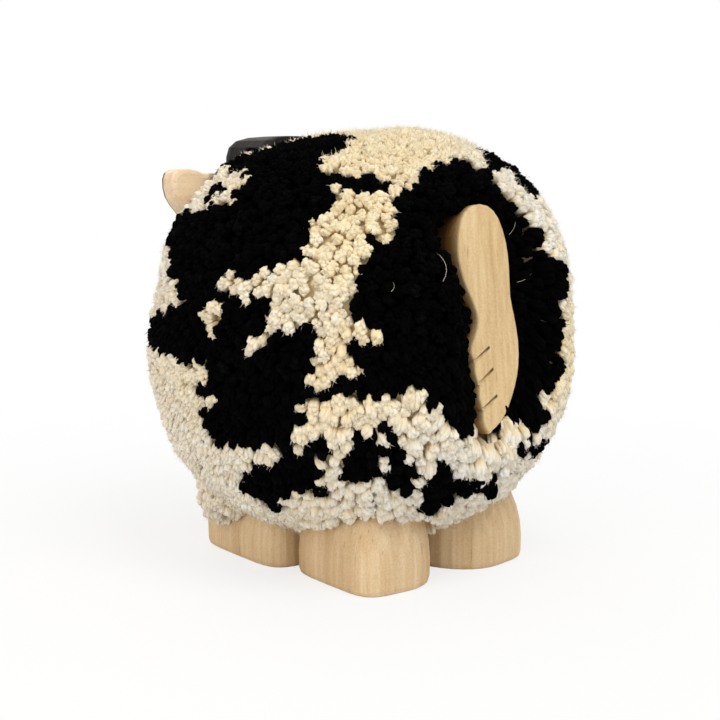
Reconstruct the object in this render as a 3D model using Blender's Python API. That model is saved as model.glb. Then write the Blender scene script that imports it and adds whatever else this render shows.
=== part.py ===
"""Cow figurine: a ball of cut-pile wool on a turned wooden core, with four carved
wooden feet, a carved head with two ears, and a flat carved tail board.

The cow faces -Y, its left side is +X, and its soles stand on z = 0. All lengths
are in metres. Heights written as "above the ball's centre" start from that point.
"""

import math

import bmesh
import bpy
from mathutils import Matrix, Vector

CLEARANCE = 0.0003
POCKET_CLEARANCE = 0.0004

# The wooden core and the wool around it. A mound is its place in degrees round from the tail and
# up, its spread and its rise. The parting is the wool's edge beside the tail board's left side, as
# heights along the board and reaches in the parting's way.
BALL_HEIGHT = 0.0998
CORE_RADIUS = 0.060
WOOL_HALF_WIDTH = 0.0920
WOOL_HALF_HEIGHT = 0.0888
WOOL_SQUARENESS = 2.35
WOOL_LUMP = 0.0012
WOOL_MOUNDS = [
    ((112.0, -36.0), 26.0, 0.0022),
    ((-32.0, -36.0), 24.0, -0.0016),
    ((115.0, 74.0), 28.0, -0.0040),
]
WOOL_LEAST = 0.0030
WOOL_PARTING_WAY = (-0.73, 0.68, 0.0)
WOOL_PARTING = [
    (-0.050, 0.060), (-0.040, 0.040), (-0.008, 0.039), (0.000, 0.049), (0.021, 0.049), (0.028, 0.035),
    (0.040, 0.032), (0.052, 0.030), (0.062, 0.060),
]
WOOL_DIP_BELOW_TAIL_FACE = 0.0015
WOOL_DIP_SLOPE = 0.0140
WOOL_DETAIL = 4
CORE_DETAIL = 3

# The feet: a plan with its own roundness at each corner, and a domed top
FOOT_HALF_WIDTH = 0.0228
HIND_FOOT_HALF_LENGTH = 0.0274
FRONT_FOOT_HALF_LENGTH = 0.0312
FOOT_CENTRE_X = 0.0246
HIND_FOOT_CENTRE_Y = 0.0304
FRONT_FOOT_CENTRE_Y = -0.0308
FOOT_TURN = math.radians(5.8)
FOOT_CORNER_POWERS = {"rear_outer": 5.0, "rear_inner": 2.1, "front_outer": 5.0, "front_inner": 2.7}
FOOT_SHOULDER_HEIGHT = 0.010
FOOT_DOME_POWER = 1.9
FOOT_DOME_ROUNDNESS = 1.3
FOOT_DOME_OVER_SEAT = 0.0017
FOOT_NECK_SCALE = 0.52
FOOT_NECK_OVER_SEAT = 0.0057
FOOT_EDGE_RADIUS = 0.0015
FOOT_SIDES = 32
FOOT_DOWEL_RADIUS = 0.0040
FOOT_DOWEL_IN_FOOT = 0.0220
FOOT_DOWEL_IN_CORE = 0.0140

# The tail board: its outline is in its own plane, x to the cow's left, up along the board
TAIL_THICKNESS = 0.0150
TAIL_LEAN = math.radians(7.0)
TAIL_EDGE_RADIUS = 0.0008
TAIL_DROP = 0.0092
TAIL_LOW_ROUND_CENTRE = -0.0160
TAIL_HIGH_ROUND_CENTRE = 0.0400
TAIL_HALF_WIDTH = 0.0160
TAIL_SMOOTH_OUTLINE = [
    (0.0120, 0.0010), (0.0094, 0.0052), (0.0076, 0.0092), (0.0078, 0.0136), (0.0104, 0.0196),
    (0.0138, 0.0268), (0.0156, 0.0345), (0.0154, 0.0412), (0.0137, 0.0478), (0.0102, 0.0532),
    (0.0044, 0.0562), (-0.0036, 0.0558), (-0.0096, 0.0506), (-0.0131, 0.0405), (-0.0137, 0.0300),
    (-0.0131, 0.0190), (-0.0146, 0.0105), (-0.0158, 0.0005), (-0.0147, -0.0095), (-0.0115, -0.0178),
    (-0.0062, -0.0262), (-0.0012, -0.0310), (0.0040, -0.0338),
]
TAIL_NOTCHES = [(0.0071, -0.0333), (0.0083, -0.0252), (0.0094, -0.0151), (0.0111, -0.0051), (0.0120, 0.0010)]
TAIL_LOBE_BULGE = 0.0013
TAIL_GROOVES = [
    [(0.0124, -0.0056), (0.0066, -0.0033), (0.0024, -0.0004)],
    [(0.0116, -0.0152), (0.0058, -0.0124), (0.0012, -0.0092)],
    [(0.0104, -0.0252), (0.0047, -0.0232), (0.0001, -0.0200)],
]
TAIL_GROOVE_RADIUS = 0.0010
TAIL_DOWEL_RADIUS = 0.0030
TAIL_DOWEL_IN_BOARD = 0.0080
TAIL_DOWEL_IN_CORE = 0.0140
TAIL_DOWEL_SPREAD = 0.0140

# The head: fractions of its height, half width and depth, from the chin to the poll
HEAD_UNDERSIDE = 0.0022
HEAD_HEIGHT = 0.0825
HEAD_HALF_WIDTH = 0.0265
HEAD_BACK = 0.036
HEAD_DEPTH = 0.050
HEAD_CORNER_RADIUS = 0.006
HEAD_BACK_CORNER_RADIUS = 0.003
HEAD_PROFILE = [
    (0.000, 0.62, 0.88), (0.024, 0.74, 0.97), (0.060, 0.80, 1.00), (0.376, 0.83, 1.00), (0.520, 0.93, 0.83),
    (0.600, 1.00, 0.74), (0.680, 1.00, 0.67), (0.776, 1.00, 0.62), (0.890, 1.00, 0.61),
    (0.940, 0.965, 0.595), (0.975, 0.87, 0.555), (0.993, 0.71, 0.49), (1.000, 0.50, 0.41),
]
HEAD_DOWEL_RADIUS = 0.0040
HEAD_DOWEL_HEIGHT = 0.0200
HEAD_DOWEL_SPREAD = 0.0090
HEAD_DOWEL_IN_HEAD = 0.0160
HEAD_DOWEL_IN_CORE = 0.0160

# The muzzle on the flat lower front of the head, with nostrils and a mouth line
MUZZLE_HEIGHT = 0.0205
MUZZLE_HALF_WIDTH = 0.0198
MUZZLE_HALF_HEIGHT = 0.0127
MUZZLE_REACH = 0.0240
MUZZLE_POWER = 2.6
MUZZLE_SIDES = 28
MUZZLE_RINGS = 8
NOSTRIL_RADIUS = 0.0026
NOSTRIL_SPREAD = 0.0075
NOSTRIL_RISE = 0.0038
MOUTH_RADIUS = 0.0007
MOUTH_DROP = 0.0046
MOUTH_HALF_WIDTH = 0.0120
MOUTH_RISE = 0.0030

# The eyes: turned buttons on a shank
EYE_FRACTION = 0.56
EYE_SPREAD = 0.0125
EYE_RADIUS = 0.0040
EYE_RISE = 0.0022
EYE_SPOT_DEPTH = 0.0009
EYE_SHANK_RADIUS = 0.0015
EYE_SHANK_LENGTH = 0.0060

# The ears: an outline from the root, outward and up, in a plane across the cow
EAR_HEIGHT = 0.0627
EAR_BACKSET = 0.0555
EAR_THICKNESS = 0.0100
EAR_EDGE_RADIUS = 0.0020
EAR_OUTLINE = [
    (0.0000, 0.0055), (0.0110, 0.0055), (0.0206, 0.0055), (0.0232, 0.0066), (0.0278, 0.0074),
    (0.0334, 0.0072), (0.0362, 0.0058), (0.0372, 0.0030), (0.0371, -0.0010), (0.0360, -0.0050),
    (0.0334, -0.0088), (0.0296, -0.0128), (0.0245, -0.0163), (0.0180, -0.0176), (0.0110, -0.0160),
    (0.0050, -0.0126), (0.0000, -0.0105),
]
EAR_HOLLOW_RADIUS = 0.0110
EAR_HOLLOW_DEPTH = 0.0012
EAR_HOLLOW_REACH = 0.0282
EAR_NECK_RADIUS = 0.0125
EAR_NECK_REACH = 0.0206
EAR_NECK_DROP = 0.0030
EAR_NECK_DEPTH = 0.0026
EAR_TENON_RADIUS = 0.0028
EAR_TENON_LENGTH = 0.0100

DOWEL_SIDES = 20

# The black wool. Each outline corner is degrees round from the tail towards the cow's left,
# and degrees above the ball's centre.
BLACK_PATCHES = {
    "wool_patch_left_shoulder": [
        (57, 72), (52, 63), (63, 58), (57, 50), (53, 42), (62, 36), (60, 26), (71, 21), (80, 14), (100, 12),
        (112, 16), (124, 20), (128, 48), (116, 66), (100, 76),
    ],
    "wool_patch_left_flank": [
        (98, 10), (80, 12), (68, 10), (64, 6), (56, 4), (57, -7), (58, -12), (60, -20), (66, -25),
        (80, -27), (96, -29), (94, -20), (90, -13), (92, -8), (107, -5), (104, 7),
    ],
    "wool_patch_left_belly": [
        (70, -31), (80, -34), (90, -40), (94, -48), (88, -53), (79, -48), (70, -45), (60, -46),
        (57, -38), (54, -31), (57, -25), (62, -28),
    ],
    "wool_patch_rump": [
        (42, 31), (34, 30.5), (31, 40), (23, 47), (14, 53), (4, 57), (-8, 59), (-18, 54), (-24, 41),
        (-30, 30), (-38, 22), (-58, 12), (-56, -4), (-32, -8), (-12, -9), (-15, -23), (0, -25),
        (17, -24), (21, -14), (29, -8), (36, -10), (50, -8), (46, 8), (45, 20),
    ],
    "wool_patch_hind_belly": [
        (38, -17), (34, -17), (30, -28), (25, -38), (30, -41), (40, -40), (48, -39), (49, -33),
        (48, -28), (42, -25),
    ],
    "wool_patch_under_tail": [
        (20, -45), (20, -40), (15, -34), (6, -40), (0, -41), (-11, -47), (0, -53), (4, -59), (12, -55),
    ],
    "wool_patch_right_flank": [
        (-76, 42), (-64, 30), (-70, 6), (-64, -14), (-80, -27), (-104, -22), (-118, -6), (-112, 20),
        (-96, 38),
    ],
    "wool_patch_right_shoulder": [
        (-112, 64), (-106, 46), (-122, 30), (-144, 28), (-152, 46), (-140, 64),
    ],
    "wool_patch_chest": [
        (152, -14), (166, -8), (184, -12), (200, -20), (196, -38), (176, -46), (156, -38),
    ],
    "wool_patch_right_belly": [
        (-44, -32), (-40, -42), (-54, -50), (-74, -50), (-80, -40), (-62, -34),
    ],
}

PALE_WOOD = ("pale_wood", (0.60, 0.43, 0.25), 0.55)
HIDDEN_WOOD = ("hidden_wood", (0.55, 0.36, 0.20), 0.6)
BLACK_PAINT = ("black_painted_wood", (0.018, 0.018, 0.020), 0.5)
EYE_BLACK = ("glossy_black_button", (0.006, 0.006, 0.006), 0.15)
CREAM_WOOL = ("cream_wool", (0.72, 0.64, 0.48), 0.95)
BLACK_WOOL = ("black_wool", (0.010, 0.010, 0.012), 0.95)

CENTRE = Vector((0.0, 0.0, BALL_HEIGHT))


def clear_scene():
    """Removes every object of the open scene."""
    for obj in list(bpy.data.objects):
        bpy.data.objects.remove(obj, do_unlink=True)


def material(finish):
    """The Principled material of a finish (name, colour, roughness)."""
    name, colour, roughness = finish
    found = bpy.data.materials.get(name)
    if found:
        return found
    made = bpy.data.materials.new(name)
    made.use_nodes = True
    shader = made.node_tree.nodes["Principled BSDF"]
    shader.inputs["Base Color"].default_value = (*colour, 1.0)
    shader.inputs["Roughness"].default_value = roughness
    shader.inputs["Metallic"].default_value = 0.0
    made.diffuse_color = (*colour, 1.0)
    return made


def to_mesh(bm, name):
    """Closes a bmesh into a mesh whose faces point out."""
    bmesh.ops.recalc_face_normals(bm, faces=bm.faces)
    mesh = bpy.data.meshes.new(name)
    bm.to_mesh(mesh)
    bm.free()
    return mesh


def piece(name, mesh, finish):
    """An object that is one sub-part of the figurine."""
    obj = bpy.data.objects.new(name, mesh)
    bpy.context.scene.collection.objects.link(obj)
    mesh.materials.append(material(finish))
    return obj


def cutter(name, mesh):
    """An object that only cuts others."""
    obj = bpy.data.objects.new(name, mesh)
    bpy.context.scene.collection.objects.link(obj)
    obj.hide_render = True
    obj.display_type = "WIRE"
    return obj


def boolean(obj, other, operation="DIFFERENCE"):
    """Adds a Boolean of one object with another."""
    modifier = obj.modifiers.new(other.name, "BOOLEAN")
    modifier.operation = operation
    modifier.solver = "EXACT"
    modifier.object = other


def shade_smooth(mesh, degrees=35.0):
    """Smooth shading with sharp edges past an angle."""
    mesh.shade_smooth()
    mesh.set_sharp_from_angle(angle=math.radians(degrees))


def loft(name, rings):
    """A closed solid through rings of equal point counts, with flat ends."""
    bm = bmesh.new()
    rows = [[bm.verts.new(point) for point in ring] for ring in rings]
    count = len(rows[0])
    for lower, upper in zip(rows, rows[1:]):
        for i in range(count):
            j = (i + 1) % count
            bm.faces.new((lower[i], lower[j], upper[j], upper[i]))
    bm.faces.new(rows[0][::-1])
    bm.faces.new(rows[-1])
    mesh = to_mesh(bm, name)
    shade_smooth(mesh)
    return mesh


def offset_outline(points, distance):
    """A closed outline moved inward by a distance."""
    count = len(points)
    area = sum(points[i][0] * points[(i + 1) % count][1] - points[(i + 1) % count][0] * points[i][1]
               for i in range(count))
    side = 1.0 if area > 0 else -1.0
    moved = []
    for i, point in enumerate(points):
        before = (Vector(point) - Vector(points[i - 1])).normalized()
        after = (Vector(points[(i + 1) % count]) - Vector(point)).normalized()
        inward = Vector((-before.y - after.y, before.x + after.x)) * side
        half = max(inward.length / 2.0, 0.5)
        moved.append(Vector(point) + inward.normalized() * distance / half)
    return moved


def smooth_path(points, steps):
    """A Catmull-Rom curve through an open run of points."""
    padded = [points[0], *points, points[-1]]
    path = []
    for a, b, c, d in zip(padded, padded[1:], padded[2:], padded[3:]):
        a, b, c, d = Vector(a), Vector(b), Vector(c), Vector(d)
        for step in range(steps):
            t = step / steps
            path.append(0.5 * (2 * b + (c - a) * t + (2 * a - 5 * b + 4 * c - d) * t * t
                               + (3 * b - a - 3 * c + d) * t ** 3))
    path.append(Vector(points[-1]))
    return path


def slab(name, outline, thickness, edge_radius, grow=0.0, extra_front=0.0):
    """An outline as a board: its face is at z = 0, its back at -thickness, its rims rounded."""
    if grow:
        levels = [(extra_front + grow, -grow), (-thickness - grow, -grow)]
    else:
        soft = edge_radius * (1.0 - math.sqrt(0.5))
        levels = [(0.0, edge_radius), (-soft, soft), (-edge_radius, 0.0)]
        levels += [(-thickness + edge_radius, 0.0), (-thickness + soft, soft), (-thickness, edge_radius)]
    rings = [[(*point, height) for point in offset_outline(outline, inset)] for height, inset in levels]
    return loft(name, rings)


def cylinder(name, radius, start, end, sides=DOWEL_SIDES):
    """A round bar between two points."""
    axis = (end - start).normalized()
    turn = axis.to_track_quat("Z", "Y")
    rings = []
    for centre in (start, end):
        ring = []
        for i in range(sides):
            angle = 2.0 * math.pi * i / sides
            ring.append(centre + turn @ Vector((radius * math.cos(angle), radius * math.sin(angle), 0.0)))
        rings.append(ring)
    return loft(name, rings)


def tube(name, points, radii, sides=8):
    """A bar along points with a radius at each."""
    rings = []
    for i, (point, radius) in enumerate(zip(points, radii)):
        ahead = points[min(i + 1, len(points) - 1)] - points[max(i - 1, 0)]
        turn = ahead.to_track_quat("Z", "Y")
        ring = []
        for k in range(sides):
            angle = 2.0 * math.pi * k / sides
            ring.append(point + turn @ Vector((radius * math.cos(angle), radius * math.sin(angle), 0.0)))
        rings.append(ring)
    return loft(name, rings)


def ball(name, detail, flat_radius):
    """A faceted ball at the core's centre whose flats lie at least flat_radius out."""
    bm = bmesh.new()
    bmesh.ops.create_icosphere(bm, subdivisions=detail, radius=1.0)
    nearest = min(abs(face.normal.dot(face.verts[0].co)) for face in bm.faces)
    for vert in bm.verts:
        vert.co = CENTRE + vert.co * (flat_radius / nearest)
    mesh = to_mesh(bm, name)
    mesh.shade_smooth()
    return mesh


def direction(round_degrees, up_degrees):
    """The unit vector at an angle round from the tail towards the left, and an angle up."""
    turn, rise = math.radians(round_degrees), math.radians(up_degrees)
    return Vector((math.sin(turn) * math.cos(rise), math.cos(turn) * math.cos(rise), math.sin(rise)))


def core_mesh(name):
    """The turned ball."""
    bm = bmesh.new()
    bmesh.ops.create_icosphere(bm, subdivisions=CORE_DETAIL, radius=CORE_RADIUS)
    for vert in bm.verts:
        vert.co += CENTRE
    mesh = to_mesh(bm, name)
    mesh.shade_smooth()
    return mesh


def core_surface_height(x, y):
    """The height of the core's underside above the soles at a place."""
    return BALL_HEIGHT - math.sqrt(max(CORE_RADIUS ** 2 - x * x - y * y, 0.0))


def foot_plan(half_length, turn, side, centre_y, grow=0.0, scale=1.0):
    """The foot's outline seen from above."""
    points = []
    for i in range(FOOT_SIDES):
        angle = 2.0 * math.pi * i / FOOT_SIDES
        across, along = math.cos(angle), math.sin(angle)
        corner = ("rear" if along >= 0 else "front") + ("_outer" if across >= 0 else "_inner")
        power = 2.0 / FOOT_CORNER_POWERS[corner]
        u = (FOOT_HALF_WIDTH * scale + grow) * math.copysign(abs(across) ** power, across)
        v = (half_length * scale + grow) * math.copysign(abs(along) ** power, along)
        x = FOOT_CENTRE_X + u * math.cos(turn) + v * math.sin(turn)
        y = centre_y - u * math.sin(turn) + v * math.cos(turn)
        points.append((side * x, y))
    return points


def foot_mesh(name, side, centre_y, half_length, grow=0.0):
    """A carved foot: straight walls with a soft lower edge, closing to a neck that seats on the core."""
    soft = FOOT_EDGE_RADIUS
    seat = core_surface_height(FOOT_CENTRE_X, centre_y)
    dome = seat + FOOT_DOME_OVER_SEAT - FOOT_SHOULDER_HEIGHT
    if grow:
        levels = [(-FOOT_SHOULDER_HEIGHT, 1.0, grow), (FOOT_SHOULDER_HEIGHT, 1.0, grow)]
    else:
        levels = [(0.0, 1.0, -soft), (soft * 0.4, 1.0, -soft * 0.45), (soft * 1.5, 1.0, -soft * 0.1)]
        levels += [(FOOT_SHOULDER_HEIGHT, 1.0, 0.0)]
    for t in (0.16, 0.30, 0.43, 0.55, 0.66, 0.75):
        scale = max((1.0 - t ** FOOT_DOME_POWER) ** (1.0 / FOOT_DOME_ROUNDNESS), FOOT_NECK_SCALE)
        levels.append((FOOT_SHOULDER_HEIGHT + t * dome, scale, grow))
    levels.append((seat + FOOT_NECK_OVER_SEAT + grow, FOOT_NECK_SCALE, grow))
    rings = []
    for height, scale, extra in levels:
        plan = foot_plan(half_length, FOOT_TURN, side, centre_y, extra, scale)
        rings.append([(x, y, height) for x, y in plan])
    return loft(name, rings)


def tail_axes():
    """The tail board's outward normal and its own upward direction."""
    normal = Vector((0.0, math.cos(TAIL_LEAN), math.sin(TAIL_LEAN)))
    up = Vector((0.0, -math.sin(TAIL_LEAN), math.cos(TAIL_LEAN)))
    return normal, up


def mounds(unit):
    """How much the soft mounds raise the wool in a direction."""
    total = 0.0
    for place, spread, rise in WOOL_MOUNDS:
        away = min(math.degrees(unit.angle(direction(*place))) / spread, 1.0)
        total += rise * (1.0 - away * away) ** 2
    return total


def table_value(table, value):
    """The second number of a table at a value of the first."""
    for (a, first), (b, second) in zip(table, table[1:]):
        if value <= b:
            return first + (second - first) * min(max((value - a) / (b - a), 0.0), 1.0)
    return table[-1][1]


def wool_radius(unit):
    """How far out the wool reaches in a direction: a squarish, lumpy ball that dips to the tail board."""
    across = math.hypot(unit.x, unit.y) / WOOL_HALF_WIDTH
    up = abs(unit.z) / WOOL_HALF_HEIGHT
    plain = (across ** WOOL_SQUARENESS + up ** WOOL_SQUARENESS) ** (-1.0 / WOOL_SQUARENESS)
    lumps = math.sin(9.0 * unit.x + 1.3) * math.sin(8.0 * unit.y + 0.4) * math.sin(10.0 * unit.z + 2.1)
    full = plain + WOOL_LUMP * lumps + mounds(unit)
    normal, tail_up = tail_axes()
    facing = unit.dot(normal)
    if facing < 0.5:
        return full
    dip = (CORE_RADIUS + CLEARANCE + TAIL_THICKNESS - WOOL_DIP_BELOW_TAIL_FACE) / facing
    height = unit.dot(tail_up) * dip + TAIL_DROP
    beyond = height - min(max(height, TAIL_LOW_ROUND_CENTRE), TAIL_HIGH_ROUND_CENTRE)
    away = min(max((math.hypot(unit.x * dip, beyond) - TAIL_HALF_WIDTH) / WOOL_DIP_SLOPE, 0.0), 1.0)
    blend = away * away * (3.0 - 2.0 * away)
    dipped = min(full, dip + (full - dip) * blend)
    toward = unit.dot(Vector(WOOL_PARTING_WAY))
    if unit.x < 0.0 or toward <= 0.0:
        return dipped
    return max(min(dipped, table_value(WOOL_PARTING, height) / toward), CORE_RADIUS + WOOL_LEAST)


def wool_shell_mesh(name):
    """The whole wool coat: a lumpy outside and a round inside that fits the core."""
    bm = bmesh.new()
    bmesh.ops.create_icosphere(bm, subdivisions=WOOL_DETAIL, radius=1.0)
    for vert in bm.verts:
        vert.co = CENTRE + vert.co * wool_radius(vert.co.normalized())
    inside = bmesh.new()
    inside.from_mesh(ball("inside", CORE_DETAIL, CORE_RADIUS + CLEARANCE))
    bmesh.ops.reverse_faces(inside, faces=inside.faces)
    hollow = bpy.data.meshes.new("hollow")
    inside.to_mesh(hollow)
    inside.free()
    bm.from_mesh(hollow)
    mesh = bpy.data.meshes.new(name)
    bm.to_mesh(mesh)
    bm.free()
    mesh.shade_smooth()
    return mesh


def patch_mesh(name, outline, grow=0.0):
    """A wedge of the ball inside an outline of directions, its sides moved outward by grow."""
    corners = [direction(*pair) for pair in outline]
    middle = sum(corners, Vector()).normalized()
    normals = []
    for a, b in zip(corners, corners[1:] + corners[:1]):
        normal = a.cross(b).normalized()
        normals.append(normal if normal.dot(middle) < 0 else -normal)
    inner, outer = [], []
    for i, corner in enumerate(corners):
        before, after = normals[i - 1], normals[i]
        shift = (before + after) * grow / max(1.0 + before.dot(after), 0.5)
        inner.append(CENTRE + shift + corner * CORE_RADIUS * 0.5)
        outer.append(CENTRE + shift + corner * WOOL_HALF_WIDTH * 1.7)
    bm = bmesh.new()
    low = [bm.verts.new(point) for point in inner]
    high = [bm.verts.new(point) for point in outer]
    low_middle = bm.verts.new(CENTRE + middle * CORE_RADIUS * 0.5)
    high_middle = bm.verts.new(CENTRE + middle * WOOL_HALF_WIDTH * 1.7)
    for i in range(len(low)):
        j = (i + 1) % len(low)
        bm.faces.new((low[i], low[j], high[j], high[i]))
        bm.faces.new((low[j], low[i], low_middle))
        bm.faces.new((high[i], high[j], high_middle))
    bmesh.ops.triangulate(bm, faces=bm.faces)
    return to_mesh(bm, name)


def tail_outline():
    """The tail board's outline: a smooth spoon with carved lobes down its left edge."""
    outline = smooth_path(TAIL_SMOOTH_OUTLINE, 2)
    outline = outline[:-1]
    for a, b in zip([TAIL_SMOOTH_OUTLINE[-1], *TAIL_NOTCHES], TAIL_NOTCHES):
        a, b = Vector(a), Vector(b)
        outward = Vector((b.y - a.y, a.x - b.x)).normalized()
        outline.append(a)
        for t in (0.2, 0.5, 0.8):
            outline.append(a.lerp(b, t) + outward * TAIL_LOBE_BULGE * math.sin(math.pi * t))
    return outline


def tail_matrix():
    """Carries the board's plane to the rump: its back rests on the core."""
    normal, up = tail_axes()
    face = CENTRE + normal * (CORE_RADIUS + CLEARANCE + TAIL_THICKNESS) - up * TAIL_DROP
    turn = Matrix((Vector((1.0, 0.0, 0.0)), up, normal)).transposed().to_4x4()
    return Matrix.Translation(face) @ turn


def head_ring(fraction, width, depth, grow=0.0, front_reach=0.0):
    """One level of the head: a rounded rectangle between its back and its front."""
    half = HEAD_HALF_WIDTH * width + grow
    back = -HEAD_BACK + grow
    front = -(HEAD_BACK + HEAD_DEPTH * depth) - grow - front_reach
    height = BALL_HEIGHT + HEAD_UNDERSIDE + fraction * HEAD_HEIGHT
    height += grow * (2.0 * fraction - 1.0)
    corners = [(half, front, HEAD_CORNER_RADIUS, -90.0), (half, back, HEAD_BACK_CORNER_RADIUS, 0.0)]
    corners += [(-half, back, HEAD_BACK_CORNER_RADIUS, 90.0), (-half, front, HEAD_CORNER_RADIUS, 180.0)]
    ring = []
    for x, y, radius, start in corners:
        centre = Vector((x - math.copysign(radius, x), y + (radius if y == front else -radius)))
        for step in range(5):
            angle = math.radians(start + 90.0 * step / 4)
            ring.append((centre.x + radius * math.cos(angle), centre.y + radius * math.sin(angle), height))
    return ring


def face_point(fraction):
    """The place and slope of the head's front at a fraction of its height."""
    for (low, _, d0), (high, _, d1) in zip(HEAD_PROFILE, HEAD_PROFILE[1:]):
        if low <= fraction <= high:
            depth = d0 + (d1 - d0) * (fraction - low) / (high - low)
            run = Vector((0.0, -(d1 - d0) * HEAD_DEPTH, (high - low) * HEAD_HEIGHT)).normalized()
            normal = Vector((0.0, -run.z, run.y))
            height = BALL_HEIGHT + HEAD_UNDERSIDE + fraction * HEAD_HEIGHT
            return Vector((0.0, -(HEAD_BACK + HEAD_DEPTH * depth), height)), normal
    raise ValueError("the face has no such height")


def muzzle_front(x, z):
    """How far the muzzle stands forward of its seat at a place."""
    rest = 1.0 - abs(x / MUZZLE_HALF_WIDTH) ** MUZZLE_POWER - abs(z / MUZZLE_HALF_HEIGHT) ** MUZZLE_POWER
    return MUZZLE_REACH * max(rest, 0.0) ** (1.0 / MUZZLE_POWER)


def muzzle_mesh(name):
    """A blunt nose that closes forward from a flat seat."""
    rings = []
    seat = -(HEAD_BACK + HEAD_DEPTH + CLEARANCE)
    height = BALL_HEIGHT + MUZZLE_HEIGHT
    for ring_index in range(MUZZLE_RINGS):
        t = math.sin(0.5 * math.pi * 0.98 * ring_index / (MUZZLE_RINGS - 1))
        scale = (1.0 - t ** MUZZLE_POWER) ** (1.0 / MUZZLE_POWER)
        ring = []
        for i in range(MUZZLE_SIDES):
            angle = 2.0 * math.pi * i / MUZZLE_SIDES
            power = 2.0 / MUZZLE_POWER
            x = MUZZLE_HALF_WIDTH * math.copysign(abs(math.cos(angle)) ** power, math.cos(angle))
            z = MUZZLE_HALF_HEIGHT * math.copysign(abs(math.sin(angle)) ** power, math.sin(angle))
            ring.append((scale * x, seat - MUZZLE_REACH * t, height + scale * z))
        rings.append(ring)
    return loft(name, rings)


def ear_matrix(side):
    """Carries the ear's outline plane to the side of the head, its back face to the rear."""
    rear = -EAR_BACKSET + EAR_THICKNESS / 2.0
    root = Vector((side * (HEAD_HALF_WIDTH + CLEARANCE), rear, BALL_HEIGHT + EAR_HEIGHT))
    turn = Matrix((Vector((side, 0.0, 0.0)), Vector((0.0, 0.0, 1.0)), Vector((0.0, 1.0, 0.0)))).transposed()
    return Matrix.Translation(root) @ turn.to_4x4()


def placed(mesh, matrix):
    """A mesh moved by a matrix, with its faces still pointing out."""
    bm = bmesh.new()
    bm.from_mesh(mesh)
    bmesh.ops.transform(bm, matrix=matrix, verts=bm.verts)
    moved = to_mesh(bm, mesh.name)
    shade_smooth(moved)
    return moved


def build_dowel(name, radius, start, end, hosts):
    """A dowel between two points, and its hole in each host."""
    slack = (end - start).normalized() * CLEARANCE
    piece(name, cylinder(name, radius, start, end), HIDDEN_WOOD)
    hole = cutter(f"hole_{name}", cylinder("hole", radius + CLEARANCE, start - slack, end + slack))
    for host in hosts:
        boolean(host, hole)
    return hole


def build_core():
    """The wooden ball that everything is fixed to."""
    return piece("body_core", core_mesh("body_core"), HIDDEN_WOOD)


def build_feet(core):
    """The four feet, each scooped to the core and held by a dowel. Returns their pockets in the wool."""
    scoop = cutter("core_scoop", ball("core_scoop", CORE_DETAIL, CORE_RADIUS + CLEARANCE))
    pockets = []
    for side, side_name in ((1, "left"), (-1, "right")):
        rows = (("hind", HIND_FOOT_CENTRE_Y, HIND_FOOT_HALF_LENGTH),
                ("front", FRONT_FOOT_CENTRE_Y, FRONT_FOOT_HALF_LENGTH))
        for row, centre_y, half_length in rows:
            name = f"foot_{row}_{side_name}"
            foot = piece(name, foot_mesh(name, side, centre_y, half_length), PALE_WOOD)
            boolean(foot, scoop)
            seat = core_surface_height(FOOT_CENTRE_X, centre_y)
            start = Vector((side * FOOT_CENTRE_X, centre_y, seat - FOOT_DOWEL_IN_FOOT))
            end = Vector((side * FOOT_CENTRE_X, centre_y, seat + FOOT_DOWEL_IN_CORE))
            build_dowel(f"foot_dowel_{row}_{side_name}", FOOT_DOWEL_RADIUS, start, end, (foot, core))
            pocket = foot_mesh("pocket", side, centre_y, half_length, POCKET_CLEARANCE)
            pockets.append(cutter(f"pocket_{name}", pocket))
    return pockets


def build_tail(core):
    """The tail board with its carved grooves and two dowels. Returns the pockets it needs in the wool."""
    matrix = tail_matrix()
    outline = tail_outline()
    flat_board = slab("tail_board", outline, TAIL_THICKNESS, TAIL_EDGE_RADIUS)
    board = piece("tail_board", placed(flat_board, matrix), PALE_WOOD)
    for i, groove in enumerate(TAIL_GROOVES):
        points = [matrix @ Vector((*point, 0.0)) for point in smooth_path(groove, 3)]
        radii = [TAIL_GROOVE_RADIUS * (1.0 - 0.75 * k / (len(points) - 1)) for k in range(len(points))]
        boolean(board, cutter(f"groove_{i + 1}", tube("groove", points, radii)))
    reach = WOOL_HALF_WIDTH * 0.5
    pocket = slab("pocket", outline, TAIL_THICKNESS, TAIL_EDGE_RADIUS, POCKET_CLEARANCE, reach)
    pockets = [cutter("pocket_tail", placed(pocket, matrix))]
    normal, up = tail_axes()
    seat = CENTRE + normal * CORE_RADIUS
    for label, along in (("upper", TAIL_DOWEL_SPREAD), ("lower", -TAIL_DOWEL_SPREAD)):
        start = seat + up * along - normal * TAIL_DOWEL_IN_CORE
        end = seat + up * along + normal * TAIL_DOWEL_IN_BOARD
        pockets.append(build_dowel(f"tail_dowel_{label}", TAIL_DOWEL_RADIUS, start, end, (board, core)))
    return pockets


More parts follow.
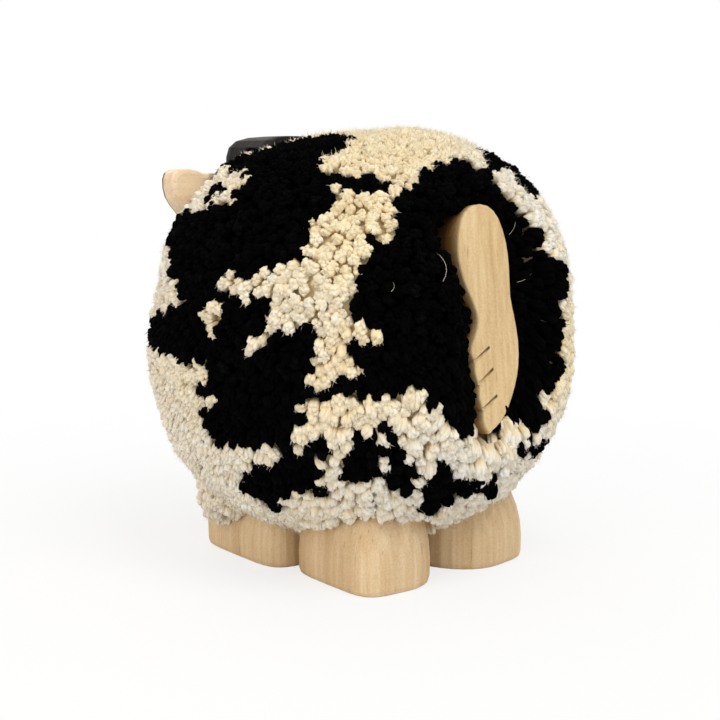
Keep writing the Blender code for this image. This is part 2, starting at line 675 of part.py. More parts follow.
def build_head(core):
    """The painted head with its dowels, muzzle, eyes and ears. Returns their pockets in the wool."""
    head = piece("head", loft("head", [head_ring(*level) for level in HEAD_PROFILE]), BLACK_PAINT)
    boolean(head, bpy.data.objects["core_scoop"])
    height = BALL_HEIGHT + HEAD_DOWEL_HEIGHT
    for label, side in (("left", 1), ("right", -1)):
        x = side * HEAD_DOWEL_SPREAD
        seat = -math.sqrt(CORE_RADIUS ** 2 - HEAD_DOWEL_HEIGHT ** 2 - x * x)
        start = Vector((x, seat + HEAD_DOWEL_IN_CORE, height))
        end = Vector((x, seat - HEAD_DOWEL_IN_HEAD, height))
        build_dowel(f"head_dowel_{label}", HEAD_DOWEL_RADIUS, start, end, (head, core))
    build_muzzle()
    build_eyes(head)
    reach = WOOL_HALF_WIDTH * 0.6
    pocket = loft("pocket", [head_ring(*level, POCKET_CLEARANCE, reach) for level in HEAD_PROFILE])
    return [cutter("pocket_head", pocket), *build_ears(head)]


def build_muzzle():
    """The pale nose block with two nostrils and a mouth line."""
    muzzle = piece("muzzle", muzzle_mesh("muzzle"), PALE_WOOD)
    seat = -(HEAD_BACK + HEAD_DEPTH + CLEARANCE)
    height = BALL_HEIGHT + MUZZLE_HEIGHT
    for label, side in (("left", 1), ("right", -1)):
        x = side * NOSTRIL_SPREAD
        front = seat - muzzle_front(x, NOSTRIL_RISE)
        start = Vector((x, front - NOSTRIL_RADIUS * 0.7, height + NOSTRIL_RISE))
        points = [start + Vector((0.0, NOSTRIL_RADIUS * step, 0.0)) for step in (0.0, 0.7, 1.3, 1.7)]
        radii = [NOSTRIL_RADIUS * scale for scale in (1.0, 0.9, 0.6, 0.2)]
        boolean(muzzle, cutter(f"nostril_{label}", tube("nostril", points, radii, 12)))
    points = []
    for i in range(13):
        t = i / 6.0 - 1.0
        x, z = t * MOUTH_HALF_WIDTH, -MOUTH_DROP - MOUTH_RISE * (1.0 - t * t) * 0.5
        points.append(Vector((x, seat - muzzle_front(x, z), height + z)))
    boolean(muzzle, cutter("mouth", tube("mouth", points, [MOUTH_RADIUS] * len(points))))


def build_eyes(head):
    """Two turned buttons, each on a shank in a drilled hole."""
    for label, side in (("left", 1), ("right", -1)):
        point, normal = face_point(EYE_FRACTION)
        seat = point + Vector((side * EYE_SPREAD, 0.0, 0.0)) - normal * EYE_SPOT_DEPTH
        steps = [(-EYE_SHANK_LENGTH, EYE_SHANK_RADIUS), (0.0, EYE_SHANK_RADIUS), (0.0, EYE_RADIUS)]
        for t in (0.0, 0.5, 0.8, 0.97):
            steps.append((EYE_SPOT_DEPTH + EYE_RISE * t, EYE_RADIUS * math.sqrt(1.0 - t * t)))
        turn = normal.to_track_quat("Z", "Y")
        start = seat + normal * CLEARANCE
        rings = []
        for along, radius in steps:
            ring = []
            for i in range(16):
                angle = 2.0 * math.pi * i / 16
                around = Vector((radius * math.cos(angle), radius * math.sin(angle), along))
                ring.append(start + turn @ around)
            rings.append(ring)
        piece(f"eye_{label}", loft("eye", rings), EYE_BLACK)
        spot = cylinder("spot", EYE_RADIUS + CLEARANCE, seat, seat + normal * EYE_RISE * 2.0, 16)
        boolean(head, cutter(f"spot_{label}", spot))
        deep = seat - normal * (EYE_SHANK_LENGTH + CLEARANCE)
        shank = cylinder("shank", EYE_SHANK_RADIUS + CLEARANCE, deep, seat + normal * EYE_RISE, 16)
        boolean(head, cutter(f"shank_{label}", shank))


def build_ears(head):
    """Two carved ears, each with a round tenon in the head's side. Returns their pockets in the wool."""
    pockets = []
    for label, side in (("left", 1), ("right", -1)):
        name = f"ear_{label}"
        matrix = ear_matrix(side)
        flat_ear = slab(name, EAR_OUTLINE, EAR_THICKNESS, EAR_EDGE_RADIUS)
        ear = piece(name, placed(flat_ear, matrix), PALE_WOOD)
        hollow_centre = EAR_HOLLOW_REACH - EAR_HOLLOW_RADIUS
        low = matrix @ Vector((hollow_centre, -EAR_NECK_DROP, -EAR_THICKNESS * 2.0))
        high = matrix @ Vector((hollow_centre, -EAR_NECK_DROP, EAR_HOLLOW_DEPTH - EAR_THICKNESS))
        boolean(ear, cutter(f"hollow_{name}", cylinder("hollow", EAR_HOLLOW_RADIUS, low, high, 32)))
        neck_centre = EAR_NECK_REACH - EAR_NECK_RADIUS
        low = matrix @ Vector((neck_centre, -EAR_NECK_DROP, -EAR_NECK_DEPTH))
        high = matrix @ Vector((neck_centre, -EAR_NECK_DROP, EAR_THICKNESS))
        boolean(ear, cutter(f"neck_{name}", cylinder("neck", EAR_NECK_RADIUS, low, high, 40)))
        middle = -(EAR_THICKNESS + EAR_NECK_DEPTH) / 2.0
        inner = matrix @ Vector((-EAR_TENON_LENGTH, 0.0, middle))
        outer = matrix @ Vector((EAR_EDGE_RADIUS * 2.0, 0.0, middle))
        boolean(ear, cutter(f"tenon_{name}", cylinder("tenon", EAR_TENON_RADIUS, inner, outer)), "UNION")
        deep = matrix @ Vector((-EAR_TENON_LENGTH - CLEARANCE, 0.0, middle))
        hole = cutter(f"hole_{name}", cylinder("hole", EAR_TENON_RADIUS + CLEARANCE, deep, outer))
        boolean(head, hole)
        pocket = slab("pocket", EAR_OUTLINE, EAR_THICKNESS, EAR_EDGE_RADIUS, POCKET_CLEARANCE)
        pockets.append(cutter(f"pocket_{name}", placed(pocket, matrix)))
    return pockets


def build_wool(pockets):
    """The cream coat and the black patches let into it."""
    coat = piece("wool_coat_cream", wool_shell_mesh("wool_coat_cream"), CREAM_WOOL)
    shell = cutter("wool_shell", wool_shell_mesh("wool_shell"))
    for pocket in pockets:
        boolean(coat, pocket)
        boolean(shell, pocket)
    for name, outline in BLACK_PATCHES.items():
        boolean(coat, cutter(f"room_{name}", patch_mesh("room", outline, CLEARANCE)))
        patch = piece(name, patch_mesh(name, outline), BLACK_WOOL)
        boolean(patch, shell, "INTERSECT")


def centre_frame():
    """Moves everything so that the origin is under the middle of the figurine's outer box."""
    outermost = ("wool_coat_cream", "muzzle")
    points = [vert.co for name in outermost for vert in bpy.data.objects[name].data.vertices]
    middle_x = (min(point.x for point in points) + max(point.x for point in points)) / 2.0
    middle_y = (min(point.y for point in points) + max(point.y for point in points)) / 2.0
    for obj in bpy.data.objects:
        obj.data.transform(Matrix.Translation((-middle_x, -middle_y, 0.0)))


def main():
    """Builds the figurine."""
    clear_scene()
    core = build_core()
    pockets = build_feet(core)
    pockets += build_tail(core)
    pockets += build_head(core)
    build_wool(pockets)
    centre_frame()


main()
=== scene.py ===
"""The looks of the cow figurine: a woolly ball of cut yarn tufts on carved wooden feet.

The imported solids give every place. The wool is made here, tuft by tuft, over the plain
coat and patch solids. The wooden pieces keep their solids and get grain, paint and polish.
Lengths are in metres. Directions on the wool ball are written as degrees round from the
tail towards the cow's left side, and degrees above the ball's centre.
"""

import logging
import math
from dataclasses import dataclass
from enum import Enum
from itertools import product

import bpy
import numpy as np
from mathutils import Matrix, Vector


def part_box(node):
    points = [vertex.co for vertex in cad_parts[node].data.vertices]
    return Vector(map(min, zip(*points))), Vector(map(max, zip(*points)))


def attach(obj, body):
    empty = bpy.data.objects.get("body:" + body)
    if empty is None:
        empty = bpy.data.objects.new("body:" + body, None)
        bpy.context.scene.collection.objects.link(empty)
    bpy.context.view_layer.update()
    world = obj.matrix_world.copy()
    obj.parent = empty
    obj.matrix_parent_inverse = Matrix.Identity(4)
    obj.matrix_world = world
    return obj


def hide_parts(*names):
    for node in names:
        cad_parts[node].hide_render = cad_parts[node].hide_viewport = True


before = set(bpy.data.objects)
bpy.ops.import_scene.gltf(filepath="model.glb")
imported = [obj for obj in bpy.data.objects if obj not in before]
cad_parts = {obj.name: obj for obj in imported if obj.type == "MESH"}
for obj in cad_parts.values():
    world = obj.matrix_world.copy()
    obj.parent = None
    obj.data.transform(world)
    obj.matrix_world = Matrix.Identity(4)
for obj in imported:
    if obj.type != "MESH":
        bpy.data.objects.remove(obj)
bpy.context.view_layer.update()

logger = logging.getLogger("cow_figurine")

Array = np.ndarray
Piece = bpy.types.Object
Socket = bpy.types.NodeSocket
Feeds = dict[str | int, object]
Colour = tuple[float, float, float]
Place = tuple[float, float, float]
Outline = list[tuple[float, float]]
Profile = tuple[tuple[float, float], ...]
Zones = tuple[tuple[float, ...], ...]

WHITE = (1.0, 1.0, 1.0)
TAIL_LEAN = math.radians(7.0)
TAIL_NORMAL = np.array((0.0, math.cos(TAIL_LEAN), math.sin(TAIL_LEAN)))
TAIL_UP = np.array((0.0, -math.sin(TAIL_LEAN), math.cos(TAIL_LEAN)))
# From the ball's centre, the board's own zero lies this far down and its face this far out.
TAIL_DROP = 0.0092
TAIL_FACE = 0.0753


class Yarn(Enum):
    """The two yarns of the coat."""

    CREAM = "cream_wool"
    BLACK = "black_wool"


class Grain(Enum):
    """The axis that a piece of wood's grain runs along."""

    UPRIGHT = (1.0, 1.0, 0.07)
    ACROSS = (0.07, 1.0, 1.0)
    LENGTHWISE = (1.0, 0.07, 1.0)


def thrice(value: float) -> tuple[float, float, float]:
    """One number for all three parts of a colour or a scale."""
    return value, value, value


class Nodes:
    """A node tree that is built one call at a time."""

    def __init__(self, tree: bpy.types.NodeTree) -> None:
        """Keeps the tree."""
        self.tree = tree

    def fill(self, node: bpy.types.Node, feeds: Feeds) -> None:
        """Gives a node's inputs their values or links.

        Args:
            node: the node.
            feeds: a value or a socket for each input.
        """
        for key, value in feeds.items():
            if isinstance(value, Socket):
                self.tree.links.new(value, node.inputs[key])
            else:
                node.inputs[key].default_value = value

    def node(self, kind: str, feeds: Feeds, **settings: object) -> bpy.types.Node:
        """Adds a node and fills its inputs.

        Args:
            kind: the node's type name, without the start that all share.
            feeds: a value or a socket for each input.
            settings: properties of the node.

        Returns:
            The new node.
        """
        made = self.tree.nodes.new("ShaderNode" + kind)
        for key, value in settings.items():
            setattr(made, key, value)
        self.fill(made, feeds)
        return made

    def math(self, operation: str, first: Socket, second: Socket) -> Socket:
        """Works out one number from two."""
        return self.node("Math", {0: first, 1: second}, operation=operation).outputs["Value"]

    def place(self, scale: Place = WHITE) -> Socket:
        """The place on the piece, stretched along each axis."""
        where = self.node("TexCoord", {}).outputs["Object"]
        return self.node("Mapping", {"Vector": where, "Scale": scale}).outputs["Vector"]

    def spread(self, value: Socket, low: float, high: float, to_low: float, to_high: float) -> Socket:
        """Maps the range from low to high onto the one from to_low to to_high."""
        feeds = {"Value": value, "From Min": low, "From Max": high, "To Min": to_low, "To Max": to_high}
        return self.node("MapRange", feeds).outputs["Result"]


class Shader(Nodes):
    """A material in the making."""

    def __init__(self, name: str) -> None:
        """Starts a material with a Principled shader.

        Args:
            name: the material's name.
        """
        self.material = bpy.data.materials.new(name)
        self.material.use_nodes = True
        super().__init__(self.material.node_tree)

    def finish(self, feeds: Feeds) -> bpy.types.Material:
        """Fills the Principled shader's inputs and hands over the material."""
        self.fill(self.tree.nodes["Principled BSDF"], feeds)
        return self.material

    def attribute(self, name: str) -> Socket:
        """Reads a mesh attribute."""
        return self.node("Attribute", {}, attribute_name=name).outputs["Vector"]

    def noise(self, vector: Socket, detail: float, bend: float = 0.0, scale: float = 1.0) -> Socket:
        """A noise texture, read at a vector, with its octaves, its distortion and its scale."""
        feeds = {"Vector": vector, "Scale": scale, "Detail": detail, "Distortion": bend}
        return self.node("TexNoise", feeds).outputs["Fac"]

    def ramp(self, factor: Socket, *stops: tuple[float, Colour]) -> Socket:
        """Picks a colour by a factor.

        Args:
            factor: the socket that picks the colour.
            stops: positions with their colours.

        Returns:
            The colour socket.
        """
        made = self.node("ValToRGB", {"Fac": factor})
        elements = made.color_ramp.elements
        while len(elements) < len(stops):
            elements.new(0.5)
        for element, (position, colour) in zip(elements, stops):
            element.position = position
            element.color = (*colour, 1.0)
        return made.outputs["Color"]

    def mix(self, kind: str, amount: float | Socket, first: Socket, second: Socket | Colour) -> Socket:
        """Mixes two colours.

        Args:
            kind: the way of mixing, such as MULTIPLY.
            amount: how much of the second, as a number or a socket.
            first: the lower colour.
            second: the upper colour, as a colour or a socket.

        Returns:
            The mixed colour socket.
        """
        upper = (*second, 1.0) if isinstance(second, tuple) else second
        made = self.node("Mix", {0: amount, 6: first, 7: upper}, data_type="RGBA", blend_type=kind)
        return made.outputs[2]

    def along(self, start: Place, axis: Place) -> tuple[Socket, Socket]:
        """Measures from a point.

        Args:
            start: the point.
            axis: a direction of length one.

        Returns:
            The way from the point as a vector, and how far that goes along the axis.
        """
        way = self.node("VectorMath", {0: self.place(), 1: start}, operation="SUBTRACT").outputs["Vector"]
        far = self.node("VectorMath", {0: way, 1: axis}, operation="DOT_PRODUCT").outputs["Value"]
        return way, far

    def near_line(self, start: Place, end: Place, width: float) -> Socket:
        """Finds what lies near a straight line.

        Args:
            start: one end of the line.
            end: its other end.
            width: how far from the line the mask fades out.

        Returns:
            A mask socket, one on the line.
        """
        run = Vector(end) - Vector(start)
        axis = tuple(run.normalized())
        way, far = self.along(start, axis)
        held = self.spread(far, 0.0, run.length, 0.0, run.length)
        nearest = self.node("VectorMath", {0: axis, "Scale": held}, operation="SCALE").outputs["Vector"]
        away = self.node("VectorMath", {0: way, 1: nearest}, operation="DISTANCE").outputs["Value"]
        return self.spread(away, width * 0.45, width, 1.0, 0.0)

    def bump(self, height: Socket, strength: float, distance: float) -> Socket:
        """Roughens the surface by a height, with a strength and a depth."""
        feeds = {"Height": height, "Strength": strength, "Distance": distance}
        return self.node("Bump", feeds).outputs["Normal"]


@dataclass(frozen=True)
class WoodFinish:
    """Bare or painted wood with straight grain, fine pores and slow changes of tone, with painted shade in
    grooves and on a sunken edge where given.
    """

    name: str
    grain: Grain
    light: Colour
    middle: Colour
    dark: Colour
    pore: Colour
    roughness: float = 0.58
    specular: float = 0.30
    band_scale: float = 70.0
    streak_scale: float = 430.0
    speckle_scale: float = 1300.0
    pore_scale: float = 900.0
    wander_scale: float = 260.0
    bump_depth: float = 0.00010
    painted_ahead_of: float | None = None
    paint: Colour = (0.012, 0.011, 0.011)
    # Lines of the carved grooves, with shade painted along them, and the width and colour of that painted
    # shade.
    groove_shade_lines: tuple[tuple[Place, Place], ...] = ()
    groove_shade_width: float = 0.0008
    groove_shade_colour: Colour = (0.11, 0.055, 0.022)
    face_place: Place | None = None
    # Painted shade on the tail board's edge, darkest deep in the wool.
    edge_shade_deep: Colour = (0.16, 0.10, 0.05)
    edge_shade_mid: Colour = (0.50, 0.37, 0.22)
    edge_shade_depth: float = 0.0080

    def material(self) -> bpy.types.Material:
        """Builds the wood.

        Returns:
            The material.
        """
        shader = Shader(self.name)
        bands = shader.noise(shader.place(self._stretched(self.band_scale, 0.5)), 4.0, 0.8)
        colour = shader.ramp(bands, (0.25, self.dark), (0.50, self.middle), (0.75, self.light))
        streaks = shader.noise(shader.place(self._stretched(self.streak_scale, 0.6)), 4.0, 0.2)
        contrast = shader.ramp(streaks, (0.28, thrice(0.26)), (0.72, thrice(0.74)))
        colour = shader.mix("SOFT_LIGHT", 0.55, colour, contrast)
        speckle = shader.noise(shader.place(thrice(self.speckle_scale)), 2.0)
        contrast = shader.ramp(speckle, (0.35, thrice(0.3)), (0.65, thrice(0.7)))
        colour = shader.mix("SOFT_LIGHT", 0.35, colour, contrast)
        pores = shader.noise(shader.place(self._stretched(self.pore_scale, 1.3)), 1.0)
        colour = shader.mix("MIX", shader.spread(pores, 0.68, 0.76, 0.0, 0.6), colour, self.pore)
        # Painted shade in the carved grooves of the tail board.
        for start, end in self.groove_shade_lines:
            mask = shader.near_line(start, end, self.groove_shade_width)
            colour = shader.mix("MIX", mask, colour, self.groove_shade_colour)
        # Painted shade on the tail board's edge, where it sinks into the wool.
        if self.face_place is not None:
            colour = self._paint_edge_shade(shader, colour)
        if self.painted_ahead_of is not None:
            colour = self._paint_front(shader, colour)
        return shader.finish({
            "Base Color": colour,
            "Roughness": shader.spread(streaks, 0.3, 0.7, self.roughness + 0.06, self.roughness - 0.05),
            "Specular IOR Level": self.specular,
            "Normal": shader.bump(streaks, 0.5, self.bump_depth),
        })

    def _stretched(self, scale: float, softness: float) -> Place:
        """A texture scale that is drawn out along the grain."""
        return tuple(scale * (part * softness if part < 1.0 else part) for part in self.grain.value)

    def _paint_edge_shade(self, shader: Shader, colour: Socket) -> Socket:
        """Paints shade on the board's edge, darker the deeper it goes into the wool that shades it.

        Args:
            shader: the material in the making.
            colour: the bare wood's colour.

        Returns:
            The colour socket with the painted shade.
        """
        _, out = shader.along(self.face_place, tuple(TAIL_NORMAL))
        rise = shader.spread(out, -self.edge_shade_depth, -0.0005, 0.0, 1.0)
        # The painted shade, darkest deepest in the wool.
        painted_shade = shader.ramp(rise, (0.0, self.edge_shade_deep), (0.6, self.edge_shade_mid), (1.0, WHITE))
        return shader.mix("MULTIPLY", 1.0, colour, painted_shade)

    def _paint_front(self, shader: Shader, colour: Socket) -> Socket:
        """Paints the side that faces forward, up to a slightly wandering edge.

        Args:
            shader: the material in the making.
            colour: the bare wood's colour.

        Returns:
            The painted colour socket.
        """
        ahead = shader.node("SeparateXYZ", {"Vector": shader.place()}).outputs["Y"]
        wander = shader.noise(shader.place(thrice(self.wander_scale)), 2.0)
        edge = shader.math("ADD", ahead, shader.spread(wander, 0.0, 1.0, -0.0006, 0.0006))
        limit = self.painted_ahead_of
        mask = shader.spread(edge, limit - 0.0003, limit + 0.0003, 1.0, 0.0)
        return shader.mix("MIX", mask, colour, self.paint)


@dataclass(frozen=True)
class ButtonFinish:
    """A polished black button."""

    name: str = "polished_black_button"
    marks_scale: float = 900.0

    def material(self) -> bpy.types.Material:
        """Builds the polish, with faint handling marks.

        Returns:
            The material.
        """
        shader = Shader(self.name)
        marks = shader.noise(shader.place(thrice(self.marks_scale)), 4.0)
        return shader.finish({
            "Base Color": shader.ramp(marks, (0.3, (0.004, 0.004, 0.004)), (0.7, (0.010, 0.009, 0.009))),
            "Roughness": shader.spread(marks, 0.3, 0.7, 0.08, 0.18),
        })


@dataclass(frozen=True)
class WoolFinish:
    """Cut yarn: each ply has a tone, has shade painted darker towards its root, and shows its fibres."""

    name: str
    shade: Colour
    body: Colour
    bright: Colour
    # The colour that paints shade deep in the pile, at each ply's root.
    root: Colour
    # A cooler, whiter tint for plies low on the ball and in listed spots.
    cool_tint: Colour = WHITE
    roughness: float = 0.95
    specular: float = 0.10
    sheen: float = 0.20
    fibre_contrast: float = 0.55
    fibre_scale: float = 4.2
    fibre_depth: float = 0.00040

    def material(self) -> bpy.types.Material:
        """Builds the yarn from the plies' own attributes.

        Returns:
            The material.
        """
        shader = Shader(self.name)
        tone, depth, coolness = shader.node("SeparateXYZ", {"Vector": shader.attribute("tuft")}).outputs
        colour = shader.ramp(tone, (0.0, self.shade), (0.5, self.body), (1.0, self.bright))
        # Painted shade: each ply darkens towards its root, where the tufts shade each other.
        colour = shader.mix("MULTIPLY", 1.0, colour, shader.ramp(depth, (0.45, self.root), (0.92, WHITE)))
        # A cooler, whiter tint low on the ball and in listed spots.
        colour = shader.mix("MULTIPLY", 1.0, colour, shader.ramp(coolness, (0.0, WHITE), (1.0, self.cool_tint)))
        fibres = shader.noise(shader.attribute("yarn"), 4.0, 0.3, self.fibre_scale)
        strands = shader.ramp(fibres, (0.30, thrice(0.12)), (0.70, thrice(0.88)))
        return shader.finish({
            "Base Color": shader.mix("SOFT_LIGHT", self.fibre_contrast, colour, strands),
            "Roughness": self.roughness,
            "Specular IOR Level": self.specular,
            "Sheen Weight": self.sheen,
            "Sheen Roughness": 0.6,
            "Normal": shader.bump(fibres, 0.9, self.fibre_depth),
        })


def directions(outline: Outline) -> Array:
    """Turns places, as degrees round from the tail and degrees up, into unit vectors."""
    turn, rise = np.radians(np.asarray(outline, float)).T
    return np.stack((np.sin(turn) * np.cos(rise), np.cos(turn) * np.cos(rise), np.sin(rise)), axis=1)


def unit(vectors: Array) -> Array:
    """Scales each row to length one."""
    return vectors / np.linalg.norm(vectors, axis=-1, keepdims=True)


def rises(ways: Array) -> Array:
    """How many degrees up each unit vector points."""
    return np.degrees(np.arcsin(np.clip(ways[:, 2], -1.0, 1.0)))


def sideways(ways: Array) -> tuple[Array, Array]:
    """Two directions along the ball for each direction out of it."""
    across = unit(np.cross(ways, (0.31, 0.52, 0.80)))
    return across, np.cross(ways, across)


def waves(points: Array, scale: float, seed: float) -> Array:
    """A smooth bumpy value from about -1 to 1 at each point.

    Args:
        points: one point a row.
        scale: how quickly it changes.
        seed: which pattern.

    Returns:
        One value a point.
    """
    x, y, z = (points * scale).T
    first = np.sin(x * 1.31 + 2.1 * seed) * np.sin(y * 1.17 - 0.7 * seed)
    first += np.sin(z * 1.43 + seed) * np.cos(x * 0.9)
    second = np.sin(x * 2.9 - seed) * np.cos(y * 3.3 + seed) + np.sin(y * 2.3 + z * 2.7)
    return 0.4 * first + 0.22 * second


class Patch:
    """An outlined area of the wool ball."""

    def __init__(self, outline: Outline) -> None:
        """Lays the outline out flat round its own middle.

        Args:
            outline: the area's corners on the ball.
        """
        corners = directions(outline)
        self.middle = unit(corners.mean(axis=0))
        self.across = unit(np.cross((0.0, 0.0, 1.0), self.middle))
        self.up = np.cross(self.middle, self.across)
        self.corners = self._flat(corners)

    def _flat(self, points: Array) -> Array:
        """Places unit vectors on a plane, keeping their angle from the middle.

        Args:
            points: one unit vector a row.

        Returns:
            The place of each on the plane.
        """
        angle = np.arccos(np.clip(points @ self.middle, -1.0, 1.0))
        x, y = points @ self.across, points @ self.up
        length = np.maximum(np.hypot(x, y), 1e-9)
        return np.stack((x * angle / length, y * angle / length), axis=1)

    def holds(self, points: Array) -> Array:
        """Finds which unit vectors are inside the outline.

        Args:
            points: one unit vector a row.

        Returns:
            True for each that is inside.
        """
        x, y = self._flat(points).T
        inside = np.zeros(len(points), bool)
        for start, end in zip(self.corners, np.roll(self.corners, -1, axis=0)):
            crosses = (start[1] > y) != (end[1] > y)
            reach = (end[0] - start[0]) * (y - start[1]) / (end[1] - start[1] + 1e-12) + start[0]
            inside ^= crosses & (x < reach)
        return inside


def near(ways: Array, place: tuple[float, float], spread: float) -> Array:
    """A soft weight round a place on the ball.

    Args:
        ways: one unit vector a row.
        place: degrees round from the tail and degrees up.
        spread: the degrees from the place to where the weight is zero.

    Returns:
        One at the place, falling to zero.
    """
    angle = np.degrees(np.arccos(np.clip(ways @ directions([place])[0], -1.0, 1.0)))
    away = np.clip(angle / spread, 0.0, 1.0)
    return (1.0 - away * away) ** 2


def mesh_object(name: str, points: Array, faces: Array, corners: Array, vectors: dict[str, Array]) -> Piece:
    """Makes a smooth-shaded mesh from arrays.

    Args:
        name: the object's name.
        points: one vertex a row.
        faces: the number of corners of each face.
        corners: the vertex of each face corner.
        vectors: vector attributes of the vertices, by name.

    Returns:
        The object, in the scene.
    """
    mesh = bpy.data.meshes.new(name)
    mesh.vertices.add(len(points))
    mesh.vertices.foreach_set("co", points.astype(np.float32).ravel())
    mesh.loops.add(len(corners))
    mesh.loops.foreach_set("vertex_index", corners.astype(np.int32))
    mesh.polygons.add(len(faces))
    starts = np.concatenate(([0], np.cumsum(faces)[:-1]))
    mesh.polygons.foreach_set("loop_start", starts.astype(np.int32))
    mesh.update(calc_edges=True)
    mesh.shade_smooth()
    for label, values in vectors.items():
        layer = mesh.attributes.new(label, "FLOAT_VECTOR", "POINT")
        layer.data.foreach_set("vector", values.astype(np.float32).ravel())
    made = bpy.data.objects.new(name, mesh)
    bpy.context.scene.collection.objects.link(made)
    return made


def ring_faces(count: int, rings: int, sides: int) -> tuple[Array, Array]:
    """Faces of many equal tubes, each closed at its root and ending in a point.

    Args:
        count: the number of tubes.
        rings: the rings of a tube, whose tip is one more vertex.
        sides: the sides of a tube.

    Returns:
        The number of corners of each face, and the corners.
    """
    around = np.arange(sides)
    after = (around + 1) % sides
    low = sides * np.arange(rings - 1)[:, None]
    high = low + sides
    quads = np.stack((low + around, low + after, high + after, high + around), axis=2)
    top = (rings - 1) * sides
    tips = np.stack((top + around, top + after, np.full(sides, rings * sides)), axis=1)
    per_faces = np.concatenate((np.full(sides * (rings - 1), 4), [sides], np.full(sides, 3)))
    per_corners = np.concatenate((quads.ravel(), around[::-1], tips.ravel()))
    corners = (per_corners + (rings * sides + 1) * np.arange(count)[:, None]).ravel()
    return np.tile(per_faces, count), corners


def circles(ahead: Array, chance: Array, angle: Array) -> Array:
    """Circles of radius one, square to many curves.

    Args:
        ahead: the way each curve runs at each of its points.
        chance: a random vector for each curve, which turns its circles.
        angle: the angle of each corner of a circle.

    Returns:
        Each corner's place round its point.
    """
    first = unit(np.cross(ahead, chance))
    second = np.cross(ahead, first)
    return first[:, :, None] * np.cos(angle)[:, None] + second[:, :, None] * np.sin(angle)[:, None]


@dataclass
class WoolShape:
    """How far out the wool reaches: a squarish, lumpy ball that dips to the tail board."""

    half_width: float = 0.0920
    half_height: float = 0.0888
    squareness: float = 2.35
    lump: float = 0.0012
    mounds: Zones = (
        (112.0, -36.0, 26.0, 0.0022), (-32.0, -36.0, 24.0, -0.0016), (115.0, 74.0, 28.0, -0.0040),
        (70.0, 74.0, 26.0, -0.0018), (-30.0, 46.0, 34.0, 0.0012), (128.0, 16.0, 24.0, -0.0012),
        (120.0, -10.0, 18.0, 0.0018), (-38.0, 3.0, 24.0, -0.0008), (132.0, -52.0, 13.0, 0.0145),
        (122.0, 43.0, 13.0, -0.0045),
    )
    dip_level: float = 0.0738
    tail_low: float = -0.0160
    tail_high: float = 0.0400
    tail_half_width: float = 0.0160
    dip_slope: float = 0.0140
    rear_share: float = 0.5
    parting_way: Place = (-0.73, 0.68, 0.0)
    parting: Profile = (
        (-0.050, 0.060), (-0.040, 0.041), (-0.008, 0.045), (0.000, 0.050), (0.006, 0.0545), (0.016, 0.0545),
        (0.024, 0.045), (0.030, 0.035), (0.036, 0.027), (0.052, 0.026), (0.062, 0.060),
    )
    least: float = 0.0630

    def reach(self, ways: Array) -> Array:
        """Works out the wool's radius in each direction.

        Args:
            ways: one unit vector a row.

        Returns:
            One radius a direction.
        """
        x, y, z = ways.T
        across = np.hypot(x, y) / self.half_width
        up = np.abs(z) / self.half_height
        full = (across ** self.squareness + up ** self.squareness) ** (-1.0 / self.squareness)
        full += self.lump * np.sin(9.0 * x + 1.3) * np.sin(8.0 * y + 0.4) * np.sin(10.0 * z + 2.1)
        for turn, rise, spread, height in self.mounds:
            full += height * near(ways, (turn, rise), spread)
        return self._dipped(ways, full)

    def _dipped(self, ways: Array, full: Array) -> Array:
        """Lowers the wool round the tail board, and parts it on the board's left.

        Args:
            ways: one unit vector a row.
            full: the radius of the plain ball in each direction.

        Returns:
            One radius a direction.
        """
        facing = np.maximum(ways @ TAIL_NORMAL, 1e-6)
        level = self.dip_level / facing
        height = (ways @ TAIL_UP) * level + TAIL_DROP
        beyond = height - np.clip(height, self.tail_low, self.tail_high)
        away = (np.hypot(ways[:, 0] * level, beyond) - self.tail_half_width) / self.dip_slope
        away = np.clip(away, 0.0, 1.0)
        blend = away * away * (3.0 - 2.0 * away)
        rear = facing > self.rear_share
        dipped = np.where(rear, np.minimum(full, level + (full - level) * blend), full)
        toward = np.maximum(ways @ np.array(self.parting_way), 1e-6)
        limit = np.interp(height, *zip(*self.parting)) / toward
        beside = rear & (ways[:, 0] > 0.0)
        return np.where(beside, np.maximum(np.minimum(dipped, limit), self.least), dipped)


